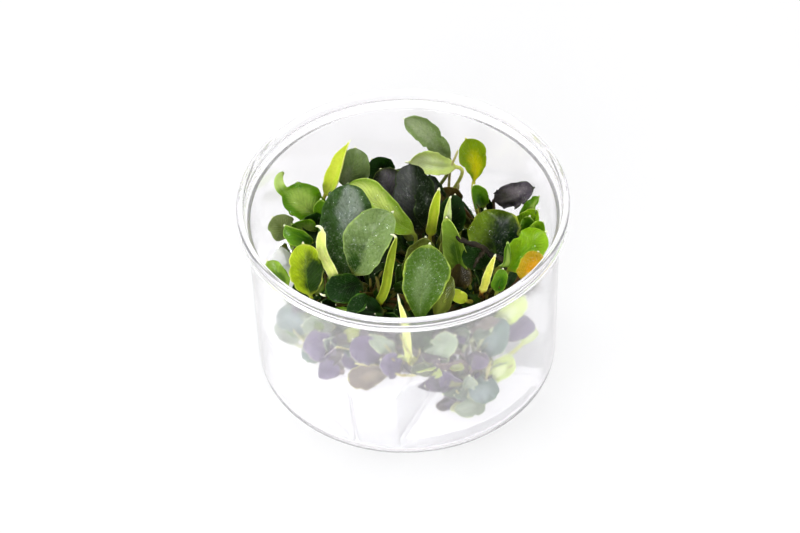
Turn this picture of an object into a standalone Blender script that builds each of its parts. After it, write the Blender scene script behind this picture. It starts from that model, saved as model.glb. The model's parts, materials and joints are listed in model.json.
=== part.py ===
"""Bucephalandra plantlets on broken clear gel, in an open clear tissue culture cup.

Metres, +Z up, origin on the table under the middle of the cup.  The camera side is -Y.

The cup is one turned shell.  The gel is a poured block, parted into chunks by straight cuts.
A plantlet is a creeping stem that lies on a chunk and carries its leaves.  A leaf is one sheet,
bent along a curved line and given a wall: first its stalk, then its blade.  Each stalk starts a
fixed gap away from the skin of its stem, so a change of size keeps every piece seated.
"""

import math

import bmesh
import bpy
import numpy as np

MM = 0.001
SEAT_GAP = 0.3 * MM

# Cup: its wall, measured outside at the base, then what stands out from it
WALL_RADIUS = 46.3 * MM
RIM_HEIGHT = 64.0 * MM
WALL = 1.05 * MM
WALL_FLARE = 0.8 * MM
SHOULDER_WIDTH = 2.9 * MM
COLLAR_HEIGHT = 4.4 * MM
COLLAR_INSET = 0.8 * MM
LIP_WIDTH = 2.2 * MM
BEAD = 0.55 * MM
CORNER_RADIUS = 3.8 * MM
FOOT_WIDTH = 4.5 * MM
FOOT_DEPTH = 0.5 * MM
CUP_STEPS = 56

# Gel
GEL_DEPTH = 25.0 * MM
GEL_STEPS = 36
CUT_GAP = 0.4 * MM

# Stems and leaves
STEM_RADIUS = 1.6 * MM
STEM_TIP_SHARE = 0.55
STEM_BOW = 0.10
STEM_POINTS = 6
STALK_THICKNESS = 1.1 * MM
STALK_WIDTH = 1.2 * MM
STALK_RISE = 0.35
STALK_PULL = 0.9
BLADE_THICKNESS = 0.5 * MM
CUP_START = 0.25
RIPPLE_TURN = 7.0
RIPPLE_SHIFT = 1.6
STALK_STEPS = 2
BLADE_STEPS = 6
WIDE_LEAF = 5.5 * MM
FACING = (0.0, -0.714, 0.700)

# The plantlets are drawn for a cup that is this wide inside, less the clearance to its wall.
# Their leaves, stalks and stems all follow when the cup is made wider or narrower.
PLAN_REACH = 44.9 * MM
WALL_CLEARANCE = 0.35 * MM

# How a blade widens from its base and narrows to its tip
OUTLINES = {
    "oval": (0.75, 0.60),
    "spoon": (1.25, 0.55),
    "round": (0.50, 0.45),
    "lance": (0.75, 0.95),
    "strap": (0.30, 0.45),
    "band": (0.24, 0.22),
}

COLOURS = {
    "clear plastic": ((0.93, 0.94, 0.97), 0.08),
    "gel": ((0.90, 0.93, 0.95), 0.05),
    "stem": ((0.13, 0.10, 0.04), 0.50),
    "green leaf": ((0.10, 0.24, 0.03), 0.32),
    "dark leaf": ((0.03, 0.07, 0.03), 0.28),
    "bright leaf": ((0.25, 0.45, 0.04), 0.35),
    "pale leaf": ((0.55, 0.66, 0.16), 0.40),
    "brown leaf": ((0.14, 0.11, 0.04), 0.40),
    "purple leaf": ((0.04, 0.03, 0.05), 0.35),
    "orange leaf": ((0.62, 0.33, 0.02), 0.40),
}

# Chunks of gel: how far the top lies below the poured depth, and the cuts that part the block,
# each a point in plan and the way it faces out of the chunk, in degrees, with a lean in degrees.
CHUNKS = {
    "gel_front": (0.0, [((5, -28), -28, 2), ((-19, -30), 192, -4), ((-8, -12), 92, 5),
                        ((24, -15), 82, -3)]),
    "gel_left": (0.0, [((-19, -30), 12, 4)]),
    "gel_back": (0.0, [((-19, -30), 192, -4), ((14, 12), -8, 4), ((-8, -12), 272, -5)]),
    "gel_right_back": (2.0, [((14, 12), 172, -4), ((24, -15), 262, 3)]),
    "gel_right_front": (17.0, [((5, -28), 152, -2), ((24, -15), 82, -3)]),
}

# A loose piece of gel that stands on a chunk: its middle in plan, its size, and the cuts that
# took its corners off, each a point from its middle and the way the cut faces.
LOOSE_ON = "gel_left"
LOOSE_PLACE = (-37.5, 5.5)
LOOSE_SIZE = (8.0, 7.0, 13.0)
LOOSE_CUTS = [((2.2, 0, 4.0), (0.75, 0.1, 0.65)), ((-2.5, -1.5, 3.5), (-0.5, -0.6, 0.62)),
              ((-2.0, 2.4, 0), (-0.7, 0.7, 0.1))]

# Plantlets: the chunk that carries the stem, the stem's two ends in plan, then its leaves.
# A leaf: its place along the stem (0 to 1), the base and the tip of its blade (plan, and the
# height above the chunk), width and outline, then in degrees roll, cup, arch, sweep and twist,
# then the wave of its margin and its colour.
PLANTLETS = {
    "left_front": ("gel_left", (-34, -13), (-23, -11), [
        (0.75, (-29, -11, 11), (-30.5, -4, 26), 12.0, "oval", -8, 40, 18, 0, 0, 0.05, "bright leaf"),
        (0.15, (-36, -9, 12), (-41.5, -5, 20), 6.5, "oval", 10, 25, 20, 0, 0, 0.05, "green leaf"),
        (0.45, (-28, 5, 17), (-36, 6, 24), 6.5, "oval", -15, 50, 25, 0, 15, 0.08, "bright leaf"),
        (1.00, (-21, -8, 13), (-24.5, -3, 30.5), 4.0, "band", 0, 60, 10, -14, 12, 0.0, "pale leaf"),
    ]),
    "left_back": ("gel_back", (-33, 13), (-22, 20), [
        (0.55, (-25, 20, 12), (-36.5, 20, 25), 12.5, "oval", 12, 45, 25, 0, 0, 0.05, "green leaf"),
        (0.15, (-35, 16, 10), (-40, 15, 19), 9.0, "round", 0, 15, 10, 0, 0, 0.0, "dark leaf"),
        (0.80, (-24, 26, 17), (-16, 28, 37), 7.0, "lance", -20, 60, 15, 10, 20, 0.0, "pale leaf"),
        (1.00, (-17, 29, 17), (-14, 32, 31), 10.5, "oval", 8, 25, 20, 0, 0, 0.05, "dark leaf"),
    ]),
    "centre": ("gel_back", (-18, -6), (-4, -9), [
        (0.15, (-19, -3, 9), (-16.5, 14, 33), 17.0, "oval", 5, 12, 16, 4, 0, 0.03, "dark leaf"),
        (0.40, (-15.5, -5, 13), (-3.5, 1, 33), 14.5, "oval", -12, 25, 22, -6, 0, 0.02, "green leaf"),
        (0.55, (-13, -7, 11), (-24, -15, 15), 10.0, "oval", 15, 20, 20, 0, 0, 0.03, "dark leaf"),
        (0.80, (-7, -17, 9), (-18, -22, 14), 10.0, "oval", 10, 20, 20, 0, 0, 0.03, "dark leaf"),
        (0.70, (-9, -15, 9), (-2.5, -9, 32), 3.4, "strap", 0, 60, 8, 4, -20, 0.0, "pale leaf"),
        (0.95, (2, -4, 10), (6.5, -4, 27), 11.0, "oval", 15, 30, 20, 0, 0, 0.05, "brown leaf"),
    ]),
    "centre_back": ("gel_back", (1, 10), (11, 7), [
        (0.35, (5, 14, 11), (2.5, 22.5, 32.5), 15.0, "round", -10, 30, 12, 0, 0, 0.08, "dark leaf"),
        (0.10, (3, 10, 15), (-17, 21, 25), 10.5, "oval", 10, 25, 40, 0, 0, 0.03, "green leaf"),
        (0.75, (8, 9, 15), (11, 12, 31), 4.0, "strap", 0, 70, 10, 0, 0, 0.0, "pale leaf"),
    ]),
    "back": ("gel_back", (2, 29), (13, 31), [
        (0.50, (15, 36, 21), (1.5, 39, 36), 8.5, "oval", 0, 20, 12, 12, 12, 0.15, "green leaf"),
        (0.95, (17, 31, 22.5), (2.5, 29, 27), 9.0, "oval", 0, 40, -22, 0, 0, 0.12, "bright leaf"),
        (0.10, (-4, 31, 17), (-9, 32, 26), 9.0, "round", 0, 20, 20, 0, 0, 0.05, "dark leaf"),
    ]),
    "right_back": ("gel_right_back", (23, 24), (32, 16), [
        (0.10, (22, 25, 23), (20, 29, 38), 9.5, "spoon", 12, 28, 10, 16, 10, 0.05, "bright leaf"),
        (0.00, (17.5, 20.5, 18.5), (12, 18, 28), 7.0, "oval", 0, 30, 20, 0, 0, 0.05, "brown leaf"),
        (0.30, (25, 21, 17), (22, 21, 26), 6.0, "round", 0, 55, 20, 0, 0, 0.05, "green leaf"),
        (0.55, (28.5, 25, 15.5), (40, 16.5, 28.5), 8.5, "oval", 10, 30, 20, 0, 0, 0.6, "purple leaf"),
        (0.80, (35, 15, 11), (41, 11, 24), 8.0, "oval", 0, 30, 20, 0, 0, 0.3, "bright leaf"),
        (1.00, (34, 10, 10), (41.5, 7, 19), 8.0, "oval", 0, 30, 20, 0, 0, 0.1, "green leaf"),
    ]),
    "right": ("gel_right_back", (20, -8), (30, -6), [
        (0.75, (29, -2, 12), (25, 7, 29), 18.5, "oval", 8, 30, 15, 0, 0, 0.05, "green leaf"),
        (1.00, (31.5, -6, 16), (42.5, -3.5, 29), 12.0, "oval", -12, 25, 15, 0, 0, 0.12, "bright leaf"),
        (0.80, (35.5, -13.5, 19), (40, -12.5, 30), 8.0, "round", 0, 20, 15, 0, 0, 0.03, "orange leaf"),
        (0.10, (18.5, -6, 13), (13, 0, 33), 8.0, "oval", -15, 45, 12, 0, 20, 0.03, "green leaf"),
        (0.40, (23, -12, 13), (27, -11, 27), 3.2, "strap", 0, 70, 10, 0, 0, 0.0, "pale leaf"),
    ]),
    "front": ("gel_front", (-6, -30), (3, -28), [
        (0.85, (3.5, -23, 9), (7.5, -15, 35), 14.5, "spoon", -6, 18, 10, 0, 0, 0.03, "green leaf"),
        (1.00, (9, -20, 9), (13, -14, 21), 7.0, "oval", 0, 20, 15, 0, 0, 0.05, "brown leaf"),
        (0.55, (1, -35, 5), (-2, -33, 29), 3.0, "strap", 0, 70, 10, 0, 0, 0.0, "pale leaf"),
        (0.80, (6, -34, 5), (14, -35, 17), 8.5, "round", 0, 20, 15, 0, 0, 0.05, "bright leaf"),
        (0.30, (-6, -37, 4), (-18, -38, 3), 8.0, "oval", 0, 15, 15, 0, 0, 0.08, "brown leaf"),
    ]),
    "right_low": ("gel_right_front", (15, -31), (23, -26), [
        (0.80, (26, -25, 26), (35, -21, 35), 7.0, "oval", 0, 40, 25, 0, 0, 0.15, "bright leaf"),
        (0.60, (22, -30, 19), (29, -27, 32), 10.0, "oval", 0, 20, 15, 0, 0, 0.05, "green leaf"),
        (0.95, (24, -31, 8), (31, -27, 16), 6.5, "oval", 0, 20, 15, 0, 0, 0.05, "bright leaf"),
        (0.20, (13, -37.5, 4), (22.5, -35, 3), 6.5, "oval", 0, 20, 15, 0, 0, 0.05, "bright leaf"),
    ]),
    "left_low": ("gel_left", (-28, -20), (-22, -25), [
        (0.50, (-25, -29, 3.5), (-31.5, -27, 4), 6.5, "oval", 0, 15, 15, 0, 0, 0.05, "green leaf"),
        (0.95, (-20, -35, 2.5), (-26.5, -32, 2), 6.5, "oval", 0, 15, 15, 0, 0, 0.05, "purple leaf"),
        (0.10, (-22, -22, 9), (-31, -25, 13), 8.0, "oval", 0, 15, 15, 0, 0, 0.05, "dark leaf"),
    ]),
}


def unit(vector):
    """A vector of length one, for one vector or for rows of them."""
    vector = np.asarray(vector, float)
    return vector / np.linalg.norm(vector, axis=-1, keepdims=True)


def across(vector, line):
    """The part of a vector that lies square to a line of length one."""
    return vector - np.sum(vector * line, axis=-1, keepdims=True) * line


def turned(vector, axis, angle):
    """A vector turned about an axis of length one."""
    return (vector * math.cos(angle) + np.cross(axis, vector) * math.sin(angle)
            + axis * np.dot(axis, vector) * (1 - math.cos(angle)))


def curve_between(start, end, leave, arrive, t):
    """Points and directions of the cubic that leaves and arrives along two given vectors."""
    t = np.asarray(t, float)[:, None]
    points = ((2 * t**3 - 3 * t**2 + 1) * start + (t**3 - 2 * t**2 + t) * leave
              + (3 * t**2 - 2 * t**3) * end + (t**3 - t**2) * arrive)
    slopes = ((6 * t**2 - 6 * t) * start + (3 * t**2 - 4 * t + 1) * leave
              + (6 * t - 6 * t**2) * end + (3 * t**2 - 2 * t) * arrive)
    return points, unit(slopes)


def blade_width(outline, s):
    """Share of the full width at s along the blade: a rise and a fall that meet at the widest."""
    rise, fall = OUTLINES[outline]
    widest = rise / (rise + fall)
    s = np.clip(s, 1e-4, 1 - 1e-4)
    return (s / widest) ** rise * ((1 - s) / (1 - widest)) ** fall


def leaf_sheet(root, outward, base, tip, width, stalk_width, outline, bends, wave, u, v):
    """Points of a leaf's middle sheet.

    u runs from 0 to 1 up the stalk and from 1 to 2 along the blade, v from -1 to 1 across.
    The middle line leaves the stem straight out, meets the blade's base and arches to the tip.
    Each row across it is an arc of a circle: the cup is half of that arc's angle.
    """
    roll, cup, arch, sweep, twist = bends
    line = unit(tip - base)
    upper = turned(unit(across(np.array(FACING), line)), line, math.radians(roll))
    side = np.cross(line, upper)
    bow = math.tan(math.radians(arch)) * upper + math.tan(math.radians(sweep)) * side
    first = unit(line + bow)
    last = unit(line - bow)
    length = np.linalg.norm(tip - base)
    stalk_length = np.linalg.norm(base - root)
    s = np.clip(u - 1, 0, 1)
    pull = STALK_PULL * stalk_length
    stalk, stalk_way = curve_between(root, base, outward * pull, first * pull, np.clip(u, 0, 1))
    blade, blade_way = curve_between(base, tip, first * length, last * length, s)
    on_blade = (u > 1)[:, None]
    middle = np.where(on_blade, blade, stalk)
    way = np.where(on_blade, blade_way, stalk_way)
    sideways = unit(across(side, way))
    up = np.cross(sideways, way)
    spin = math.radians(twist) * s[:, None]
    sideways, up = (sideways * np.cos(spin) + up * np.sin(spin),
                    up * np.cos(spin) - sideways * np.sin(spin))
    half = np.maximum(stalk_width, width * blade_width(outline, s)) / 2
    half = np.where(u > 1, half, stalk_width / 2)[:, None]
    arc = np.maximum(math.radians(abs(cup)) * np.minimum(1, s / CUP_START), 1e-3)[:, None]
    over = half * np.sin(arc * v) / arc
    rise = math.copysign(1, cup) * half * (1 - np.cos(arc * v)) / arc
    ripple = np.sin(RIPPLE_TURN * s[:, None] + RIPPLE_SHIFT * np.sign(v)) * s[:, None]
    ripple = ripple * wave * half * np.abs(v)
    return (middle[:, None, :] + over[:, :, None] * sideways[:, None, :]
            + (rise + ripple)[:, :, None] * up[:, None, :])


def wall_radius_top():
    return WALL_RADIUS + WALL_FLARE


def rim_radius():
    return wall_radius_top() + SHOULDER_WIDTH


def inner_radius_base():
    return WALL_RADIUS - WALL


def plan_scale():
    """How much larger the plantlets are than they are drawn."""
    return (inner_radius_base() - WALL_CLEARANCE) / PLAN_REACH


def chunk_top(chunk):
    return GEL_DEPTH - CHUNKS[chunk][0] * MM


def stem_line(chunk, start, end, at):
    """Points of a stem's middle line, bowed a little sideways, with its radius at each."""
    at = np.atleast_1d(np.asarray(at, float))
    start = np.array(start, float) * MM * plan_scale()
    end = np.array(end, float) * MM * plan_scale()
    along = end - start
    bow = STEM_BOW * np.sin(math.pi * at)[:, None] * np.array([-along[1], along[0]])
    plan = start + at[:, None] * along + bow
    thick = STEM_RADIUS * plan_scale()
    height = chunk_top(chunk) + SEAT_GAP + thick
    radius = thick * (1 - (1 - STEM_TIP_SHARE) * at**3)
    return np.column_stack([plan, np.full(len(at), height)]), radius


def leaf_root(chunk, start, end, at, base):
    """Where a stalk starts: out from the stem towards the blade, one gap off its skin."""
    (before, centre, after), radius = stem_line(chunk, start, end, [at - 0.02, at, at + 0.02])
    axis = unit(after - before)
    outward = unit(across(base - centre, axis))
    outward = unit(across(outward + np.array([0, 0, STALK_RISE]), axis))
    off = radius[1] + SEAT_GAP + STALK_THICKNESS * plan_scale() / 4
    return centre + outward * off, outward


def leaf_grid(chunk, start, end, row, u, v):
    """The sheet of one leaf of the table, in metres."""
    at, base, tip, width, outline, *bends, wave, _ = row
    scale = plan_scale()
    lift = np.array([0, 0, chunk_top(chunk)])
    base = np.array(base, float) * MM * scale + lift
    tip = np.array(tip, float) * MM * scale + lift
    root, outward = leaf_root(chunk, start, end, at, base)
    return leaf_sheet(root, outward, base, tip, width * MM * scale, STALK_WIDTH * scale,
                      outline, bends, wave, u, v)


def cup_profile():
    """Half of the cup's section, from the middle of its floor up the inside, over the lip
    and down the outside to the middle of its foot.  Pairs of radius and height."""
    inner = CORNER_RADIUS - WALL
    corner = WALL_RADIUS - CORNER_RADIUS
    floor = FOOT_DEPTH + WALL
    inside_corner = [(corner + inner * math.sin(a), floor + inner * (1 - math.cos(a)))
                     for a in np.radians([0, 30, 60, 90])]
    outside_corner = [(corner + CORNER_RADIUS * math.cos(a), CORNER_RADIUS * (1 - math.sin(a)))
                      for a in np.radians([0, 22.5, 45, 67.5, 90])]
    top = wall_radius_top()
    rim = rim_radius()
    collar = rim - COLLAR_INSET
    shoulder = RIM_HEIGHT - COLLAR_HEIGHT
    lip_inside = rim - LIP_WIDTH
    lip = [
        (top - WALL, shoulder - 1.2 * WALL),
        (lip_inside - 0.35 * WALL, shoulder + 0.1 * WALL),
        (lip_inside, shoulder + WALL),
        (lip_inside, RIM_HEIGHT - BEAD),
        (lip_inside + BEAD, RIM_HEIGHT),
        (rim - BEAD, RIM_HEIGHT),
        (rim, RIM_HEIGHT - BEAD),
        (rim, RIM_HEIGHT - 2 * BEAD),
        (collar, RIM_HEIGHT - 3 * BEAD),
        (collar, shoulder + 1.4 * BEAD),
        (rim, shoulder + 0.7 * BEAD),
        (rim, shoulder - 0.3 * BEAD),
        (rim - BEAD, shoulder - BEAD),
        (top + BEAD, shoulder - BEAD),
        (top, shoulder - 2 * BEAD),
    ]
    foot_inside = corner - FOOT_WIDTH
    foot = [(foot_inside, 0.0), (foot_inside - FOOT_DEPTH, FOOT_DEPTH), (0.0, FOOT_DEPTH)]
    return [(0.0, floor)] + inside_corner + lip + outside_corner + foot


def material(name):
    """A plain Principled material for one finish."""
    existing = bpy.data.materials.get(name)
    if existing:
        return existing
    colour, roughness = COLOURS[name]
    made = bpy.data.materials.new(name)
    made.use_nodes = True
    shader = made.node_tree.nodes["Principled BSDF"]
    shader.inputs["Base Color"].default_value = (*colour, 1)
    shader.inputs["Roughness"].default_value = roughness
    shader.inputs["Metallic"].default_value = 0.0
    if name in ("clear plastic", "gel"):
        shader.inputs["Transmission Weight"].default_value = 1.0
        shader.inputs["IOR"].default_value = 1.49 if name == "clear plastic" else 1.34
    made.diffuse_color = (*colour, 1)
    return made


def add_object(name, data, collection, finish):
    made = bpy.data.objects.new(name, data)
    collection.objects.link(made)
    data.materials.append(material(finish))
    return made


def make_cup(collection):
    """The cup: its half section turned once round."""
    profile = cup_profile()
    mesh = bpy.data.meshes.new("cup")
    points = [(radius, 0, height) for radius, height in profile]
    mesh.from_pydata(points, [(i, i + 1) for i in range(len(points) - 1)], [])
    cup = add_object("cup", mesh, collection, "clear plastic")
    screw = cup.modifiers.new("Turned", "SCREW")
    screw.steps = CUP_STEPS
    screw.render_steps = CUP_STEPS
    screw.use_merge_vertices = True
    screw.merge_threshold = 0.00002
    screw.use_smooth_shade = True


def upright(facing, lean):
    """The way a leaning upright plane faces."""
    way = math.radians(facing)
    tilt = math.radians(lean)
    return math.cos(way) * math.cos(tilt), math.sin(way) * math.cos(tilt), math.sin(tilt)


def cut_away(blank, point, normal):
    """Takes what lies beyond a plane off a solid and closes the cut."""
    everything = blank.verts[:] + blank.edges[:] + blank.faces[:]
    bmesh.ops.bisect_plane(blank, geom=everything, plane_co=point, plane_no=normal,
                           clear_outer=True)
    rim = [edge for edge in blank.edges if edge.is_boundary]
    bmesh.ops.contextual_create(blank, geom=rim)


def make_chunk(name, collection):
    """A chunk of gel: the poured block, cut along its sides."""
    _, cuts = CHUNKS[name]
    bottom = FOOT_DEPTH + WALL + SEAT_GAP
    radius = inner_radius_base() - SEAT_GAP
    depth = chunk_top(name) - bottom
    blank = bmesh.new()
    bmesh.ops.create_cone(blank, cap_ends=True, segments=GEL_STEPS, radius1=radius,
                          radius2=radius, depth=depth)
    bmesh.ops.translate(blank, verts=blank.verts, vec=(0, 0, bottom + depth / 2))
    low = [edge for edge in blank.edges if all(v.co.z < bottom + MM for v in edge.verts)]
    bmesh.ops.bevel(blank, geom=low, offset=CORNER_RADIUS - WALL, offset_type="OFFSET",
                    segments=3, profile=0.5, affect="EDGES")
    for point, facing, lean in cuts:
        way = math.radians(facing)
        x = point[0] * MM * plan_scale() - math.cos(way) * CUT_GAP / 2
        y = point[1] * MM * plan_scale() - math.sin(way) * CUT_GAP / 2
        cut_away(blank, (x, y, bottom + depth / 2), upright(facing, lean))
    finish_gel(name, blank, collection)


def make_loose_chunk(name, collection):
    """A broken piece of gel: a block with corners cut off, standing on a chunk."""
    width, depth, height = (size * MM for size in LOOSE_SIZE)
    blank = bmesh.new()
    bmesh.ops.create_cube(blank, size=1)
    bmesh.ops.scale(blank, vec=(width, depth, height), verts=blank.verts)
    for point, normal in LOOSE_CUTS:
        cut_away(blank, [value * MM for value in point], normal)
    place = (LOOSE_PLACE[0] * MM * plan_scale(), LOOSE_PLACE[1] * MM * plan_scale(),
             chunk_top(LOOSE_ON) + SEAT_GAP + height / 2)
    bmesh.ops.translate(blank, verts=blank.verts, vec=place)
    finish_gel(name, blank, collection)


def finish_gel(name, blank, collection):
    bmesh.ops.recalc_face_normals(blank, faces=blank.faces)
    mesh = bpy.data.meshes.new(name)
    blank.to_mesh(mesh)
    blank.free()
    add_object(name, mesh, collection, "gel")


def make_stem(name, chunk, start, end, collection):
    """A creeping stem: a tapered tube that lies on its chunk."""
    points, radii = stem_line(chunk, start, end, np.linspace(0, 1, STEM_POINTS))
    curve = bpy.data.curves.new(name, "CURVE")
    curve.dimensions = "3D"
    curve.bevel_depth = STEM_RADIUS
    curve.bevel_resolution = 2
    curve.use_fill_caps = True
    spline = curve.splines.new("POLY")
    spline.points.add(STEM_POINTS - 1)
    for point, place, radius in zip(spline.points, points, radii):
        point.co = (*place, 1)
        point.radius = radius / STEM_RADIUS
    spline.use_smooth = True
    add_object(name, curve, collection, "stem")


def make_leaf(name, chunk, start, end, row, collection):
    """A leaf: a grid bent by leaf_grid, with a wall that is thicker along the stalk."""
    columns = 4 if row[3] * MM > WIDE_LEAF else 2
    rows = STALK_STEPS + BLADE_STEPS
    sheet = bmesh.new()
    bmesh.ops.create_grid(sheet, x_segments=rows, y_segments=columns, size=1)
    flat = np.array([vertex.co for vertex in sheet.verts])
    u = np.interp(np.linspace(0, 1, rows + 1), [0, STALK_STEPS / rows, 1], [0, 1, 2])
    v = np.linspace(-1, 1, columns + 1)
    grid = leaf_grid(chunk, start, end, row, u, v)
    index_u = np.rint((flat[:, 0] + 1) / 2 * rows).astype(int)
    index_v = np.rint((flat[:, 1] + 1) / 2 * columns).astype(int)
    for vertex, place in zip(sheet.verts, grid[index_u, index_v]):
        vertex.co = place
    mesh = bpy.data.meshes.new(name)
    sheet.to_mesh(mesh)
    sheet.free()
    mesh.shade_smooth()
    leaf = add_object(name, mesh, collection, row[-1])
    stalk = leaf.vertex_groups.new(name="stalk")
    on_stalk = [int(i) for i in np.flatnonzero(u[index_u] < 1)]
    stalk.add(on_stalk, 1.0, "REPLACE")
    wall = leaf.modifiers.new("Wall", "SOLIDIFY")
    wall.thickness = STALK_THICKNESS * plan_scale()
    wall.offset = 0.0
    wall.vertex_group = "stalk"
    wall.thickness_vertex_group = BLADE_THICKNESS / STALK_THICKNESS


def main():
    for old in list(bpy.data.objects):
        bpy.data.objects.remove(old, do_unlink=True)
    collection = bpy.data.collections.new("Tissue culture bucephalandra")
    bpy.context.scene.collection.children.link(collection)
    make_cup(collection)
    for chunk in CHUNKS:
        make_chunk(chunk, collection)
    make_loose_chunk("gel_loose", collection)
    for plantlet, (chunk, start, end, leaves) in PLANTLETS.items():
        make_stem(plantlet + "_stem", chunk, start, end, collection)
        for number, row in enumerate(leaves, 1):
            make_leaf(f"{plantlet}_leaf_{number}", chunk, start, end, row, collection)


main()
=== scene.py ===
"""Tissue culture bucephalandra: plantlets on broken clear gel, in an open clear cup.

Metres, +Z up, origin on the table under the middle of the cup.  The camera side is -Y.
Every new piece is a surface worked out with numpy from the sizes below.  They are those of the
solid model, so each leaf and stem stands in the place of its solid, but a blade is a little
blunter at its tip and may have a notched margin.
"""

import json
import math

import bmesh
import bpy
import numpy as np
from bpy.props import FloatProperty, FloatVectorProperty, IntProperty, PointerProperty
from bpy.types import Operator, Panel, PropertyGroup
from mathutils import Matrix

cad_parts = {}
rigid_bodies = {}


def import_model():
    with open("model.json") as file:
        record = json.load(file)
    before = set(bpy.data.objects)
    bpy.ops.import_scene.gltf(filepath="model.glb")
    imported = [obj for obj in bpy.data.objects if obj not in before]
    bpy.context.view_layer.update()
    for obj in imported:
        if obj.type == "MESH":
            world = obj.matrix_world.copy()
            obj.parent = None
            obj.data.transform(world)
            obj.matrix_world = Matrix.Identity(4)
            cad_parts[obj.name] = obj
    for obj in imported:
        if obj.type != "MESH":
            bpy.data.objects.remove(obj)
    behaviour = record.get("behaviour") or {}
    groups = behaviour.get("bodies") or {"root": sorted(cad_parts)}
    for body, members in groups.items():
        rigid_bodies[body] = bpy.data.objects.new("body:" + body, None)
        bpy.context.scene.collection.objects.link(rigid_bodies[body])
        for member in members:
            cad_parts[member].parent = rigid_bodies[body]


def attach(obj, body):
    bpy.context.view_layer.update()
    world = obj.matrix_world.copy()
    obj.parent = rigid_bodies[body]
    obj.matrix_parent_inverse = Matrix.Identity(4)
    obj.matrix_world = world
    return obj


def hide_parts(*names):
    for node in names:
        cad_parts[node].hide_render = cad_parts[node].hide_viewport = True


bl_info = {
    "name": "Tissue culture bucephalandra",
    "version": (1, 0, 0),
    "blender": (4, 5, 0),
    "location": "View3D > Sidebar > Bucephalandra",
    "description": "Makes a clear cup of bucephalandra plantlets on gel",
    "category": "Object",
}

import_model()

MM = 0.001

# Between a stem and the gel, and between a stalk and its stem
SEAT_GAP = 0.3 * MM
# The direction that the first corners of a tube's rings face
TUBE_SIDE = np.array([0.31, 0.17, 0.93])
# A blade's midrib: its width, its height below and the depth of the groove above
RIB_WIDTH = 0.55 * MM
RIB_HEIGHT = 0.42 * MM
GROOVE_DEPTH = 0.13 * MM
# The direction that the upper sides of the leaves face
FACING = (0.0, -0.714, 0.700)

# Where the numbering of each kind's random draws starts
SEEDS = {"gel wave": 40, "gel ripple": 60, "stem": 200, "small leaf": 300, "young look": 500,
         "drops": 600, "young row": 700, "roots": 800, "strand": 900}

# Radii in mm that young leaves and roots keep within, how many roots a plantlet sends out, and
# how much higher, in mm, young leaves may stand on the broken chunk at the right front
YOUNG_ROOM = 42.0
ROOT_ROOM = 42.5
ROOTS = 7
TALL = 24

# Drops: the degrees up their sides that their rings stand at, and their height over their radius
DROP_CLIMB = (-20, 0, 20, 40, 60, 78)
DROP_HEIGHT = 0.62

# The stage, in metres and degrees, with the camera's lens and sensor in mm.  A lamp is its place,
# width and height.
FLOOR_SIZE = 4.0
FLOOR_GAP = 0.05 * MM
LAMPS = {"key": ((-0.20, 0.25, 0.95), 0.50, 0.50), "fill": ((-0.25, -0.95, 0.50), 0.45, 0.30)}
LAMP_AIM = (0.0, 0.0, 0.03)
FLOOR_GLOW = 0.88
CAMERA_PLACE = (-0.00151, -0.7146, 0.7634)
CAMERA_TILT = 44.49
CAMERA_ROLL = -1.9
CAMERA_LENS = 150.22
CAMERA_SENSOR = 36.0

# How a blade widens from its base and narrows to its tip: the powers of its width at each end
OUTLINES = {
    "oval": (0.72, 0.50),
    "spoon": (1.25, 0.55),
    "round": (0.50, 0.40),
    "lance": (0.75, 0.95),
    "strap": (0.30, 0.45),
    "band": (0.24, 0.22),
}

# How far the top of each chunk of gel lies below the poured depth, in mm
CHUNK_DROPS = {"gel_front": 0.0, "gel_left": 0.0, "gel_back": 0.0, "gel_right_back": 2.0,
               "gel_right_front": 17.0}

# How much light each gel lets through: the chunks', then the loose piece's
GELS = {"clear gel": 0.76, "cloudy gel": 0.50}

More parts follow.
